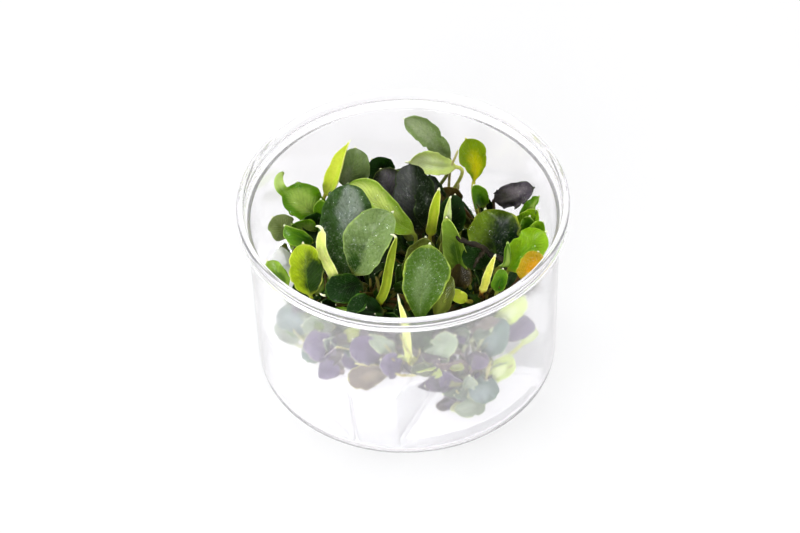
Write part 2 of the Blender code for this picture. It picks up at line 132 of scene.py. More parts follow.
# Plantlets: the chunk that carries the stem, the stem's two ends in plan, then its leaves.
# A leaf: its place along the stem (0 to 1), the base and the tip of its blade (plan, and the
# height above the chunk), width and outline, then in degrees roll, cup, arch, sweep and twist,
# then the wave of its margin.  Lengths are in mm.
PLANTLETS = {
    "left_front": ("gel_left", (-34, -13), (-23, -11), [
        (0.75, (-29, -11, 11), (-30.5, -4, 26), 12.0, "oval", -8, 40, 18, 0, 0, 0.05),
        (0.15, (-36, -9, 12), (-41.5, -5, 20), 6.5, "oval", 10, 25, 20, 0, 0, 0.05),
        (0.45, (-28, 5, 17), (-36, 6, 24), 6.5, "oval", -15, 50, 25, 0, 15, 0.08),
        (1.00, (-21, -8, 13), (-24.5, -3, 30.5), 4.0, "band", 0, 60, 10, -14, 12, 0.0),
    ]),
    "left_back": ("gel_back", (-33, 13), (-22, 20), [
        (0.55, (-25, 20, 12), (-36.5, 20, 25), 12.5, "oval", 12, 45, 25, 0, 0, 0.05),
        (0.15, (-35, 16, 10), (-40, 15, 19), 9.0, "round", 0, 15, 10, 0, 0, 0.0),
        (0.80, (-24, 26, 17), (-16, 28, 37), 7.0, "lance", -20, 60, 15, 10, 20, 0.0),
        (1.00, (-17, 29, 17), (-14, 32, 31), 10.5, "oval", 8, 25, 20, 0, 0, 0.05),
    ]),
    "centre": ("gel_back", (-18, -6), (-4, -9), [
        (0.15, (-19, -3, 9), (-16.5, 14, 33), 17.0, "oval", 5, 12, 16, 4, 0, 0.03),
        (0.40, (-15.5, -5, 13), (-3.5, 1, 33), 14.5, "oval", -12, 25, 22, -6, 0, 0.02),
        (0.55, (-13, -7, 11), (-24, -15, 15), 10.0, "oval", 15, 20, 20, 0, 0, 0.03),
        (0.80, (-7, -17, 9), (-18, -22, 14), 10.0, "oval", 10, 20, 20, 0, 0, 0.03),
        (0.70, (-9, -15, 9), (-2.5, -9, 32), 3.4, "strap", 0, 60, 8, 4, -20, 0.0),
        (0.95, (2, -4, 10), (6.5, -4, 27), 11.0, "oval", 15, 30, 20, 0, 0, 0.05),
    ]),
    "centre_back": ("gel_back", (1, 10), (11, 7), [
        (0.35, (5, 14, 11), (2.5, 22.5, 32.5), 15.0, "round", -10, 30, 12, 0, 0, 0.08),
        (0.10, (3, 10, 15), (-17, 21, 25), 10.5, "oval", 10, 25, 40, 0, 0, 0.03),
        (0.75, (8, 9, 15), (11, 12, 31), 4.0, "strap", 0, 70, 10, 0, 0, 0.0),
    ]),
    "back": ("gel_back", (2, 29), (13, 31), [
        (0.50, (15, 36, 21), (1.5, 39, 36), 8.5, "oval", 0, 20, 12, 12, 12, 0.15),
        (0.95, (17, 31, 22.5), (2.5, 29, 27), 9.0, "oval", 0, 40, -22, 0, 0, 0.12),
        (0.10, (-4, 31, 17), (-9, 32, 26), 9.0, "round", 0, 20, 20, 0, 0, 0.05),
    ]),
    "right_back": ("gel_right_back", (23, 24), (32, 16), [
        (0.10, (22, 25, 23), (20, 29, 38), 9.5, "spoon", 12, 28, 10, 16, 10, 0.05),
        (0.00, (17.5, 20.5, 18.5), (12, 18, 28), 7.0, "oval", 0, 30, 20, 0, 0, 0.05),
        (0.30, (25, 21, 17), (22, 21, 26), 6.0, "round", 0, 55, 20, 0, 0, 0.05),
        (0.55, (28.5, 25, 15.5), (40, 16.5, 28.5), 8.5, "oval", 10, 30, 20, 0, 0, 0.6),
        (0.80, (35, 15, 11), (41, 11, 24), 8.0, "oval", 0, 30, 20, 0, 0, 0.3),
        (1.00, (34, 10, 10), (41.5, 7, 19), 8.0, "oval", 0, 30, 20, 0, 0, 0.1),
    ]),
    "right": ("gel_right_back", (20, -8), (30, -6), [
        (0.75, (29, -2, 12), (25, 7, 29), 18.5, "oval", 8, 30, 15, 0, 0, 0.05),
        (1.00, (31.5, -6, 16), (42.5, -3.5, 29), 12.0, "oval", -12, 25, 15, 0, 0, 0.12),
        (0.80, (35.5, -13.5, 19), (40, -12.5, 30), 8.0, "round", 0, 20, 15, 0, 0, 0.03),
        (0.10, (18.5, -6, 13), (13, 0, 33), 8.0, "oval", -15, 45, 12, 0, 20, 0.03),
        (0.40, (23, -12, 13), (27, -11, 27), 3.2, "strap", 0, 70, 10, 0, 0, 0.0),
    ]),
    "front": ("gel_front", (-6, -30), (3, -28), [
        (0.85, (3.5, -23, 9), (7.5, -15, 35), 14.5, "spoon", -6, 18, 10, 0, 0, 0.03),
        (1.00, (9, -20, 9), (13, -14, 21), 7.0, "oval", 0, 20, 15, 0, 0, 0.05),
        (0.55, (1, -35, 5), (-2, -33, 29), 3.0, "strap", 0, 70, 10, 0, 0, 0.0),
        (0.80, (6, -34, 5), (14, -35, 17), 8.5, "round", 0, 20, 15, 0, 0, 0.05),
        (0.30, (-6, -37, 4), (-18, -38, 3), 8.0, "oval", 0, 15, 15, 0, 0, 0.08),
    ]),
    "right_low": ("gel_right_front", (15, -31), (23, -26), [
        (0.80, (26, -25, 26), (35, -21, 35), 7.0, "oval", 0, 40, 25, 0, 0, 0.15),
        (0.60, (22, -30, 19), (29, -27, 32), 10.0, "oval", 0, 20, 15, 0, 0, 0.05),
        (0.95, (24, -31, 8), (31, -27, 16), 6.5, "oval", 0, 20, 15, 0, 0, 0.05),
        (0.20, (13, -37.5, 4), (22.5, -35, 3), 6.5, "oval", 0, 20, 15, 0, 0, 0.05),
    ]),
    "left_low": ("gel_left", (-28, -20), (-22, -25), [
        (0.50, (-25, -29, 3.5), (-31.5, -27, 4), 6.5, "oval", 0, 15, 15, 0, 0, 0.05),
        (0.95, (-20, -35, 2.5), (-26.5, -32, 2), 6.5, "oval", 0, 15, 15, 0, 0, 0.05),
        (0.10, (-22, -22, 9), (-31, -25, 13), 8.0, "oval", 0, 15, 15, 0, 0, 0.05),
    ]),
}

# Looks of the leaves, in the order of their rows: the finish, then the point at the tip: its
# length and its width in mm, and how far it curls over and, where given, aside, in degrees
LOOKS = {
    "left_front": [("lime", 0.8, 0.8, 30), ("edged", 0.8, 0.8, 20), ("fresh", 0.6, 0.8, 20),
                   ("cream", 3.0, 1.0, 30, -120)],
    "left_back": [("leafy", 7.5, 3.6, 30, 110), ("grey olive", 0.5, 0.8, 10),
                  ("furled", 1.2, 0.7, 40), ("grey green", 0.5, 0.8, 10)],
    "centre": [("bloomed", 0.6, 0.9, 20), ("silvery", 0.9, 0.9, 30), ("dark", 2.4, 0.8, -30, 60),
               ("dark", 0.8, 0.8, 30), ("yellow stalked", 2.4, 0.8, 30, -110),
               ("olive", 0.6, 0.8, 20)],
    "centre_back": [("black", 0.2, 0.9, 20), ("dewy", 0.6, 0.9, 20), ("furled", 1.0, 0.9, 40)],
    "back": [("grey green", 0.6, 0.8, 20), ("pale", 1.6, 0.9, 90), ("deep", 0.4, 0.8, 20)],
    "right_back": [("gold", 0.6, 0.8, 20), ("brown", 0.4, 0.8, 20), ("fresh", 0.4, 0.8, 20),
                   ("ruffled", 0.6, 0.8, 30), ("bright", 0.8, 0.8, 30), ("bright", 0.8, 0.8, 30)],
    "right": [("shaded", 0.7, 0.9, 30), ("bright", 0.9, 0.9, 30), ("orange", 0.3, 0.8, 20),
              ("edged", 0.6, 0.8, 30), ("bud", 0.9, 0.8, 60)],
    "front": [("spoon", 0.8, 0.9, 60), ("olive", 0.4, 0.8, 20), ("cream", 3.0, 0.7, 60),
              ("washed", 0.6, 0.8, 20), ("edged brown", 0.5, 0.8, 20)],
    "right_low": [("pale", 0.8, 0.9, 30), ("teal", 0.6, 0.8, 20), ("pale", 0.4, 0.8, 20),
                  ("washed", 0.4, 0.8, 20)],
    "left_low": [("teal", 0.4, 0.8, 20), ("purple", 0.4, 0.8, 20), ("washed", 0.4, 0.8, 20)],
}

# Each leaf of the tables above: its plantlet and its number there
TABLE_LEAVES = [(name, number) for name in PLANTLETS
                for number in range(1, 1 + len(LOOKS[name]))]


def small(plantlet, finish, at, base, tip, width, outline="oval", roll=0, cup=25, arch=15,
          sweep=0, twist=0, wave=0.05, length=0.4, breadth=0.7, curl=20):
    """A small leaf: its plantlet and finish, a row like those above, and the point at its tip."""
    return (plantlet, finish, (at, base, tip, width, outline, roll, cup, arch, sweep, twist, wave),
            (length, breadth, curl))


# Small leaves past those of the table above, in the order that numbers them
SMALL_LEAVES = [
    small("right", "fresh", 0.85, (27.5, -14.5, 15.5), (29.4, -13, 23.5), 4.8, "round"),
    small("right", "leafy", 0.95, (28.6, -10.5, 22), (31, -9.5, 30.7), 3, "strap", roll=30,
          cup=70, arch=30, sweep=20, twist=40, wave=0.1, length=0.8, breadth=1, curl=60),
    small("right", "furled", 0.05, (18.2, -13, 10.5), (13.3, -14, 16), 4.2, "round", cup=30,
          arch=20),
    small("right", "brown", 0, (15.5, -9, 10), (17, -5, 18.5), 7, roll=10, arch=20),
    small("centre_back", "pale", 1, (11.8, 3, 18), (14.2, 3, 36.5), 3.4, "strap", roll=20,
          cup=50, twist=70, length=0.8, breadth=0.8, curl=60),
    small("right_low", "pale", 0.9, (34, -24.5, 18), (38.5, -20, 20), 4, cup=30, length=0.5),
    small("left_low", "fresh", 0, (-32, -21.5, 4), (-36.5, -17.5, 9), 5, length=0.5),
    small("left_back", "deep", 0.8, (-24, 14, 12), (-31, 12, 20), 9, roll=15),
    small("left_back", "fresh", 0.7, (-22, 17, 12), (-25, 16, 25), 6, roll=-20, cup=35,
          wave=0.08, length=0.5),
    small("centre_back", "deep", 0.95, (12, 12, 10), (16, 16, 25), 9, roll=10, length=0.5),
    small("back", "grey green", 0.3, (4, 27, 12), (-2, 29, 24), 9, roll=10, length=0.5),
    small("right_back", "leafy", 0.6, (31, 10, 9), (36, 4, 20), 8, roll=-15, cup=30, arch=20,
          wave=0.12, length=0.6),
    small("right_back", "bright", 0.9, (38, 8, 15), (42.3, 4, 26), 6.5, roll=20, cup=30, arch=20,
          twist=10, wave=0.5, length=0.6),
    small("right_back", "leafy", 0.7, (37, 14, 15), (41.5, 14, 27), 6, roll=-15, cup=35, arch=20,
          twist=15, wave=0.6, length=0.6),
    small("right_back", "fresh", 0.85, (36, 10, 14), (38.5, 9, 23.5), 6, "round", roll=10,
          cup=30, arch=20, wave=0.5, length=0.6),
    small("right", "deep", 0.3, (24, -5, 16), (20, -4, 26.5), 9, length=0.5),
    small("back", "dark", 0, (-6, 27, 10), (-10, 26, 21), 10, length=0.5),
    small("left_back", "deep", 0.95, (-17, 24, 11), (-13, 25, 22), 9.5, length=0.5),
    small("left_back", "leafy", 0.45, (-27, 13, 12), (-34, 9.5, 21), 8.5, roll=-10, cup=30,
          arch=20, wave=0.15, length=0.5),
    small("left_front", "deep", 0.6, (-24, 0, 12), (-29, 4, 17), 8, "round", length=0.5),
    small("centre_back", "dusky", 0.15, (-2, 20, 14), (-6.5, 25, 28.5), 13, "round", roll=10,
          cup=30, wave=0.4, length=0.2),
    small("centre_back", "black", 0.7, (9, 13, 13), (8.5, 22, 28), 10.5, "round", roll=-10,
          cup=30, wave=0.45, length=0.2),
    small("front", "purple", 0.1, (-9, -33, 6), (-16, -35, 17), 10, "round", arch=20, wave=0.1),
    small("front", "purple", 0.35, (-3, -37, 4), (-8, -38, 11), 8, "round", roll=20, arch=20,
          wave=0.15),
    small("front", "washed", 0.2, (-4, -33, 9), (-11, -34, 17.5), 5.5, cup=30, arch=25, twist=20,
          wave=0.2),
    small("left_low", "teal", 0, (-30, -22, 6), (-38, -17, 12), 7.5, arch=20, wave=0.3),
    small("left_low", "washed", 0.05, (-33, -23, 2.5), (-38.5, -17, 7), 6, arch=20, wave=0.2),
    small("left_low", "purple", 0.6, (-22, -30, 6), (-30, -29, 12), 9.5, "round", arch=20,
          wave=0.1),
    small("right_low", "purple", 0.9, (29, -27, 23), (37, -22, 26), 7.5, cup=30, arch=20,
          wave=0.15),
    small("right_low", "purple", 0.05, (13, -34, 12), (11, -37, 21), 8, cup=40, arch=20,
          twist=20, wave=0.2),
    small("right_low", "washed", 0.3, (17, -35, 11), (18, -37.5, 19), 5.5, roll=20, cup=40,
          arch=25, wave=0.25),
    small("right_low", "teal", 0.5, (18, -35, 7), (26, -33, 11), 9, "round", arch=20, wave=0.45),
]

# Young leaves round each stem: how many, their finish, the side that they lean to, as a middle
# bearing and a spread in degrees, and the share of them that lie low over the gel.  Where all do,
# they are the plainer, lying leaves.
YOUNG_LEAVES = [
    ("left_front", 20, "deep", 60, 150, 0.5), ("left_front", 12, "leafy", 60, 150, 0.5),
    ("left_back", 18, "dark", -30, 150, 0.5), ("left_back", 8, "olive", -30, 150, 0.5),
    ("centre", 44, "dark", -60, 180, 0.5), ("centre", 16, "brown", -60, 180, 0.5),
    ("centre_back", 36, "deep", 270, 180, 0.5), ("centre_back", 10, "olive", 270, 180, 0.5),
    ("back", 16, "olive", 230, 110, 0.5), ("back", 6, "dark", 230, 110, 0.5),
    ("right_back", 26, "dark", 230, 150, 0.5), ("right_back", 12, "fresh", 320, 110, 0.5),
    ("right", 40, "deep", 200, 180, 0.5), ("right", 16, "brown", 200, 180, 0.5),
    ("front", 24, "purple", 265, 120, 0.6), ("front", 20, "deep", 90, 120, 0.5),
    ("front", 8, "pale", 270, 100, 0.5), ("right_low", 8, "teal", 300, 80, 0.3),
    ("right_low", 18, "purple", 290, 90, 0.4), ("right_low", 6, "washed", 300, 80, 0.4),
    ("left_low", 26, "purple", 255, 120, 0.6), ("left_low", 10, "teal", 240, 110, 0.5),
    ("left_low", 7, "washed", 205, 70, 0.4), ("centre", 30, "deep", -70, 110, 1.0),
    ("centre", 10, "dark", 20, 90, 1.0), ("front", 18, "deep", 90, 100, 1.0),
    ("right", 26, "dark", 200, 100, 1.0), ("left_front", 10, "dark", 10, 60, 1.0),
    ("centre_back", 22, "dark", 250, 140, 1.0), ("right_back", 16, "deep", 230, 120, 1.0),
    ("left_back", 16, "deep", -40, 120, 1.0), ("centre", 16, "black", 95, 50, 1.0),
    ("centre_back", 12, "deep", 175, 45, 1.0), ("left_back", 10, "leafy", 255, 60, 0.2),
]

# Bare strands: their plantlet, kind, ends (plan, and height above the poured depth) and radius
STRANDS = [
    ("centre", "stalk", (-8.6, -12, 1), (-11, -9.5, 16), 0.60),
    ("centre", "stalk", (-10.4, -11, 1), (-7, -7, 17), 0.55),
    ("centre", "stalk", (-6, -12, 1), (-9, -10, 17), 0.70),
    ("centre", "stalk", (-12, -8, 1), (-13.5, -12, 13), 0.60),
    ("centre", "stalk", (-3, -9, 1), (1, -8, 14), 0.55),
    ("right_back", "stalk", (24, 16, 1), (17.5, 14, 22), 0.35),
    ("right_back", "stalk", (25, 15, 1), (22.7, 14, 22.5), 0.35),
    ("back", "pale stalk", (13, 30, 1), (16.8, 31, 30), 0.55),
    ("back", "pale stalk", (11, 30, 1), (17.5, 29, 17), 0.65),
    ("right", "dead", (28.5, -7.5, 0), (30.5, -10, 21), 0.80),
    ("right", "dead", (30.5, -10, 20.5), (22.5, -7.5, 26), 1.05),
    ("right", "dead", (23.2, -7.5, 25.5), (15.5, -4.0, 27), 1.00),
    ("right", "dead", (24, -8.5, 25.5), (20.5, -10.5, 20), 0.60),
    ("right", "stalk", (25, -8, 1), (26, -13, 14), 0.60),
    ("right", "stalk", (27, -8, 1), (28, -15, 16), 0.55),
    ("right", "stalk", (24, -9, 1), (22, -14, 12), 0.60),
    ("front", "pale stalk", (2.5, -32, 1), (-2.7, -37, 20), 0.32),
    ("front", "pale stalk", (3, -32, 1), (9.7, -35, 16), 0.38),
    ("front", "pale stalk", (1.5, -32, 1), (-7, -36, 14.5), 0.30),
    ("front", "pale stalk", (1, -32, 1), (-5.1, -38, 11), 0.35),
    ("front", "pale stalk", (2, -33, 1), (3.8, -38, 15), 0.30),
    ("front", "pale stalk", (4, -36, 2.5), (-5, -38.5, 5.5), 0.50),
    ("front", "stalk", (0, -31, 1), (-12, -30, 13), 0.50),
    ("front", "stalk", (3, -29, 1), (12, -26, 12), 0.60),
    ("front", "stalk", (1, -28, 1), (5, -20, 14), 0.60),
    ("right_low", "stalk", (22, -27, -16), (20, -33, 4), 0.50),
    ("right_low", "pale stalk", (20, -29, -16), (25, -33, 2), 0.40),
    ("right_low", "pale stalk", (21, -29, -16), (31, -30, -2), 0.35),
    ("right_low", "pale stalk", (19, -30, -16), (14, -38, -3), 0.35),
    ("left_low", "stalk", (-24, -23, 1), (-24, -33, 10), 0.50),
    ("left_low", "pale stalk", (-26, -24, 1), (-34, -25, 12), 0.35),
    ("left_low", "pale stalk", (-24, -24, 1), (-20, -34, 13), 0.32),
    ("front", "pale stalk", (-1, -32, 1), (-16, -37, 8), 0.35),
    ("front", "pale stalk", (-3, -32, 1), (-21, -34, 14), 0.30),
    ("front", "pale stalk", (4, -31, 1), (15, -36, 7), 0.34),
    ("right_low", "pale stalk", (23, -29, -16), (24, -35, 6), 0.32),
    ("left_low", "pale stalk", (-25, -24, 1), (-28, -31, 3.5), 0.34),
    ("left_front", "stalk", (-26, -12, 1), (-24, -6, 15), 0.60),
    ("left_back", "stalk", (-24, 19, 1), (-21, 23, 21), 0.60),
    ("left_back", "stalk", (-27, 17, 1), (-29, 14, 13), 0.55),
    ("centre_back", "stalk", (9, 8, 1), (13, 8, 17), 0.60),
]

# Kinds of strand: their material's name, its light and its dark colour, how uneven their skin
# is, and their slot
STRAND_KINDS = {
    "stalk": ("bare stalk", (96, 92, 40), (52, 36, 16), 0.10, "stem"),
    "pale stalk": ("pale stalk", (200, 196, 140), (160, 150, 84), 0.10, "pale_leaf"),
    "dead": ("dead stem", (40, 34, 22), (18, 15, 10), 0.80, "stem"),
}

# Leaves with drops of water on them: how many, and the part of the blade they lie on
WET_LEAVES = {("centre", 1): (44, 0.45, 1.0), ("centre", 2): (16, 0.2, 1.0),
              ("front", 1): (12, 0.3, 1.0), ("centre_back", 2): (14, 0.3, 0.95),
              ("left_back", 1): (6, 0.3, 0.9), ("right", 1): (8, 0.3, 0.9),
              ("centre_back", 1): (6, 0.5, 1.0), ("right", 2): (5, 0.3, 0.9)}

# Finishes of the leaves, as screen colours from 0 to 255: middle of the blade, the blade out to
# its margin, the margin, midrib, underside and stalk; then roughness, coat, and the slot.  On the
# finishes marked below, the middle colour is painted light or shade.
FINISHES = {
    # The middle colour of this finish is painted shade in the hollow of the cupped blade.
    "lime": ((26, 50, 6), (150, 172, 22), (196, 200, 92), (96, 126, 34), (170, 192, 74),
             (150, 160, 50), 0.42, 0.20, "bright_leaf"),
    "edged": ((66, 100, 16), (114, 146, 42), (184, 200, 96), (124, 152, 60), (130, 158, 70),
              (130, 140, 50), 0.38, 0.25, "green_leaf"),
    "fresh": ((46, 92, 4), (82, 126, 14), (138, 168, 56), (110, 144, 40), (140, 170, 80),
              (140, 150, 60), 0.38, 0.30, "bright_leaf"),
    "dewy": ((196, 214, 108), (122, 156, 36), (172, 194, 92), (170, 190, 90), (160, 184, 100),
             (140, 150, 60), 0.34, 0.35, "bright_leaf"),
    # The middle colour of this finish is painted light: the paler, lit side of a blade.
    "leafy": ((144, 170, 76), (74, 116, 6), (104, 136, 28), (96, 130, 36), (140, 164, 84),
              (120, 128, 48), 0.38, 0.30, "green_leaf"),
    "cream": ((234, 240, 150), (222, 232, 134), (228, 232, 166), (218, 224, 136), (222, 226, 160),
              (190, 176, 84), 0.45, 0.10, "pale_leaf"),
    "furled": ((200, 212, 64), (182, 202, 48), (224, 228, 116), (206, 212, 80), (214, 218, 120),
               (170, 160, 60), 0.42, 0.15, "pale_leaf"),
    "pale": ((208, 220, 162), (190, 206, 118), (196, 210, 128), (192, 206, 128), (184, 200, 136),
             (190, 196, 100), 0.42, 0.20, "bright_leaf"),
    "yellow stalked": ((146, 160, 40), (132, 150, 34), (186, 196, 84), (172, 182, 64),
                       (180, 190, 90), (120, 92, 24), 0.42, 0.15, "pale_leaf"),
    "grey olive": ((104, 118, 64), (122, 136, 82), (132, 144, 92), (118, 130, 82), (126, 136, 96),
                   (110, 112, 50), 0.40, 0.25, "dark_leaf"),
    "grey green": ((136, 150, 110), (104, 124, 72), (122, 140, 86), (118, 134, 88),
                   (128, 144, 104), (112, 120, 60), 0.40, 0.30, "green_leaf"),
    "silvery": ((34, 62, 14), (108, 130, 74), (140, 164, 88), (116, 138, 82), (130, 148, 100),
                (104, 110, 44), 0.36, 0.35, "green_leaf"),
    # The middle colour of this finish is a painted grey-blue sheen on a dark green blade, speckled
    # by its pale flecks.
    "bloomed": ((116, 128, 112), (48, 76, 28), (62, 94, 30), (84, 100, 70), (76, 92, 52),
                (84, 80, 34), 0.34, 0.40, "dark_leaf"),
    # The middle colour of this finish, with its flecks, is a painted sheen.
    "spoon": ((94, 118, 66), (62, 92, 20), (150, 172, 62), (112, 136, 66), (140, 158, 90),
              (120, 128, 46), 0.38, 0.30, "green_leaf"),
    "deep": ((8, 26, 2), (20, 48, 8), (48, 80, 18), (40, 66, 20), (60, 80, 36),
             (60, 60, 22), 0.40, 0.15, "dark_leaf"),
    "dark": ((4, 20, 0), (12, 40, 2), (58, 92, 20), (30, 62, 12), (60, 86, 34),
             (76, 76, 28), 0.38, 0.18, "dark_leaf"),
    # The middle colour of this finish is a painted grey sheen on a dark blade.
    "black": ((72, 74, 72), (18, 30, 12), (44, 60, 24), (44, 54, 34), (50, 58, 38),
              (60, 54, 26), 0.42, 0.12, "dark_leaf"),
    "olive": ((100, 112, 38), (78, 88, 24), (128, 142, 66), (112, 116, 48), (120, 116, 60),
              (100, 76, 30), 0.42, 0.20, "brown_leaf"),
    "brown": ((44, 38, 12), (66, 56, 20), (98, 84, 36), (84, 66, 28), (96, 84, 44),
              (90, 62, 28), 0.44, 0.15, "brown_leaf"),
    # The yellow middle colour of this finish is a painted glow of light shining through the blade.
    "gold": ((176, 172, 8), (104, 130, 6), (142, 152, 30), (170, 168, 30), (170, 176, 60),
             (200, 196, 90), 0.38, 0.25, "bright_leaf"),
    "orange": ((196, 138, 10), (168, 138, 18), (146, 160, 34), (206, 172, 40), (190, 170, 60),
               (150, 130, 40), 0.42, 0.20, "orange_leaf"),
    # The middle colour of this finish is a painted highlight on the purple-grey blade.
    "ruffled": ((116, 108, 114), (66, 60, 68), (42, 54, 20), (74, 70, 74), (84, 78, 84),
                (80, 60, 50), 0.38, 0.30, "purple_leaf"),
    "purple": ((86, 70, 104), (98, 86, 114), (132, 132, 122), (110, 100, 116), (116, 106, 126),
               (118, 104, 100), 0.40, 0.20, "purple_leaf"),
    "washed": ((150, 162, 142), (132, 146, 122), (184, 192, 150), (164, 172, 144),
               (150, 158, 146), (170, 174, 130), 0.42, 0.20, "pale_leaf"),
    "dusky": ((92, 88, 92), (32, 36, 22), (84, 96, 38), (64, 66, 46), (64, 62, 44),
              (60, 54, 26), 0.42, 0.12, "dark_leaf"),
    "teal": ((122, 138, 136), (94, 114, 106), (162, 176, 144), (136, 152, 136),
             (132, 146, 140), (150, 156, 120), 0.42, 0.20, "dark_leaf"),
    "edged brown": ((124, 114, 96), (98, 86, 76), (182, 184, 118), (120, 112, 84),
                    (110, 100, 84), (150, 140, 96), 0.44, 0.15, "brown_leaf"),
    # The middle colour of this finish is painted shade over the hollow of the cupped blade.
    "shaded": ((6, 28, 4), (92, 116, 12), (134, 144, 34), (62, 90, 24), (96, 118, 50),
               (112, 112, 40), 0.36, 0.25, "green_leaf"),
    "bright": ((98, 150, 8), (126, 168, 18), (172, 192, 74), (140, 174, 44), (140, 180, 60),
               (140, 150, 50), 0.40, 0.25, "bright_leaf"),
    "bud": ((226, 224, 92), (222, 224, 98), (232, 228, 150), (214, 210, 100), (216, 212, 120),
            (128, 84, 30), 0.42, 0.15, "pale_leaf"),
}

# How strongly a finish is speckled with pale flecks, where that differs from the usual.  The
# flecks are partly the leaf's own and partly painted sheen, most on the finishes with a painted
# sheen.
USUAL_SPECKLES = 0.22
SPECKLES = {"bloomed": 1.0, "silvery": 0.60, "spoon": 0.60, "grey green": 0.45, "dewy": 0.35,
            "black": 0.30, "ruffled": 0.55, "orange": 0.60, "shaded": 0.35}

# The colour of the point at a leaf's tip, where it isn't near white
PALE_HOOK = (230, 234, 198)
HOOKS = {"leafy": (158, 182, 96), "bloomed": (120, 140, 90), "black": (60, 70, 44),
         "ruffled": (70, 72, 60), "gold": (190, 190, 80)}

# What single leaves have of their own.  patch is where the blade's middle colour lies: its place
# across (-1 to 1) and along the blade (0 to 1), and its size; on the leaves marked below, that
# middle colour is painted light or shade.  ragged is 1 for a whole margin, and each further 1 cuts
# notches up to an eighth of half the width.  pleats are how many run along the blade, and their
# height as a share of half the width.
DETAILS = {
    # the patch here places that painted shade over most of the blade
    ("left_front", 1): dict(patch=(0.55, 0.24, 0.98), ragged=2.2),
    ("left_front", 3): dict(patch=(0.1, 0.3, 0.8)),
    ("left_front", 4): dict(pleats=(1.4, 0.08)),
    # the patch here places that painted light on the lit side
    ("left_back", 1): dict(patch=(0.15, 0.6, 0.62), pleats=(1.6, 0.07)),
    ("left_back", 2): dict(ragged=2),
    ("left_back", 3): dict(patch=(-0.4, 0.5, 0.8), pleats=(1.4, 0.1)),
    ("left_back", 4): dict(patch=(-0.3, 0.3, 0.45), ragged=1.7, pleats=(2.2, 0.06)),
    # the patch here places that painted sheen
    ("centre", 1): dict(patch=(0.1, 0.78, 0.52)),
    ("centre", 2): dict(patch=(-0.4, 0.1, 0.7), ragged=1.5),
    ("centre", 3): dict(ragged=1.8),
    ("centre", 6): dict(patch=(0.2, 0.6, 0.7), ragged=2.2, pleats=(2, 0.08)),
    # the patch here places that painted grey sheen on the left half
    ("centre_back", 1): dict(patch=(-0.55, 0.75, 0.8), ragged=2.8, pleats=(1.7, 0.1)),
    ("centre_back", 2): dict(patch=(0.3, 0.66, 0.62), pleats=(1.5, 0.05)),
    ("back", 1): dict(patch=(0, 0.75, 0.7), ragged=3.2, pleats=(1.8, 0.08)),
    ("back", 2): dict(patch=(0, 0.6, 0.7), ragged=3.2, pleats=(2, 0.08)),
    # the patch here places that painted glow
    ("right_back", 1): dict(patch=(0.15, 0.22, 0.85), ragged=1.8),
    ("right_back", 2): dict(ragged=2.4),
    # the patch here places that painted highlight
    ("right_back", 4): dict(patch=(-0.1, 0.5, 0.65), ragged=2.6, pleats=(1.6, 0.14)),
    ("right_back", 5): dict(ragged=3, pleats=(2.6, 0.1)),
    ("right_back", 6): dict(ragged=2.6, pleats=(2.2, 0.08)),
    # the patch here places that painted shade, leaving only the top left of the blade lit
    ("right", 1): dict(patch=(0.5, 0.24, 1.15), ragged=2.4),
    ("right", 2): dict(patch=(0.2, 0.3, 0.6), ragged=2.2, pleats=(2.2, 0.06)),
    ("right", 3): dict(patch=(0.2, 0.45, 0.6), ragged=1.6),
    ("right", 4): dict(ragged=2),
    ("right", 5): dict(ragged=2.4),
    # the patch here places that painted sheen
    ("front", 1): dict(patch=(-0.1, 0.52, 0.55), ragged=1.5),
    ("front", 4): dict(ragged=2.2),
    ("front", 5): dict(ragged=2.6),
    ("right_low", 1): dict(ragged=2.6),
    ("right_low", 2): dict(ragged=2.4),
    ("right_low", 4): dict(ragged=2.6),
    ("left_low", 1): dict(ragged=2),
    ("left_low", 2): dict(ragged=1.8),
    ("left_low", 3): dict(ragged=2),
}


def screen(colour):
    """A screen colour from 0 to 255 as the linear red, green, blue and alpha of a socket."""
    part = np.array(colour, float) / 255
    linear = np.where(part <= 0.04045, part / 12.92, ((part + 0.055) / 1.055) ** 2.4)
    return (*[float(value) for value in linear], 1.0)


# Sizes and colours that a user would change

def in_mm(title, default, description):
    """A length that a user would change, with its default in mm."""
    return FloatProperty(name=title, default=default * MM, unit="LENGTH",
                         description=description)


class CupSettings(PropertyGroup):
    wall_radius: in_mm("Wall radius", 46.3, "Outer radius of the wall at the base")
    rim_height: in_mm("Rim height", 64.0, "Height of the rim above the table")
    wall: in_mm("Wall", 1.05, "Thickness of the plastic")
    flare: in_mm("Flare", 0.8, "How much wider the wall is at its top")
    shoulder: in_mm("Shoulder", 2.9, "How far the rim stands out from the wall")
    collar_height: in_mm("Collar height", 4.4, "Height of the collar under the lip")
    collar_inset: in_mm("Collar inset", 0.8, "How far the collar lies behind its two beads")
    lip_width: in_mm("Lip width", 2.2, "Width of the lip, seen from above")
    bead: in_mm("Bead", 0.55, "Radius of the lip's rounded edges")
    corner: in_mm("Corner radius", 3.8, "Radius of the corner under the wall")
    foot_width: in_mm("Foot width", 4.5, "Width of the ring that the cup stands on")
    foot_depth: in_mm("Foot depth", 0.5, "Depth of the recess inside the foot")
    rounding: in_mm("Rounding", 0.35, "Radius of the small edges")
    steps: IntProperty(name="Steps", default=256, description="Steps round the cup")
    colour: FloatVectorProperty(name="Colour", subtype="COLOR", default=(0.985, 0.975, 0.995),
                                description="Tint of the clear plastic")
    clarity: FloatProperty(name="Clarity", default=0.93, subtype="FACTOR",
                           description="How much of the light the plastic lets through")


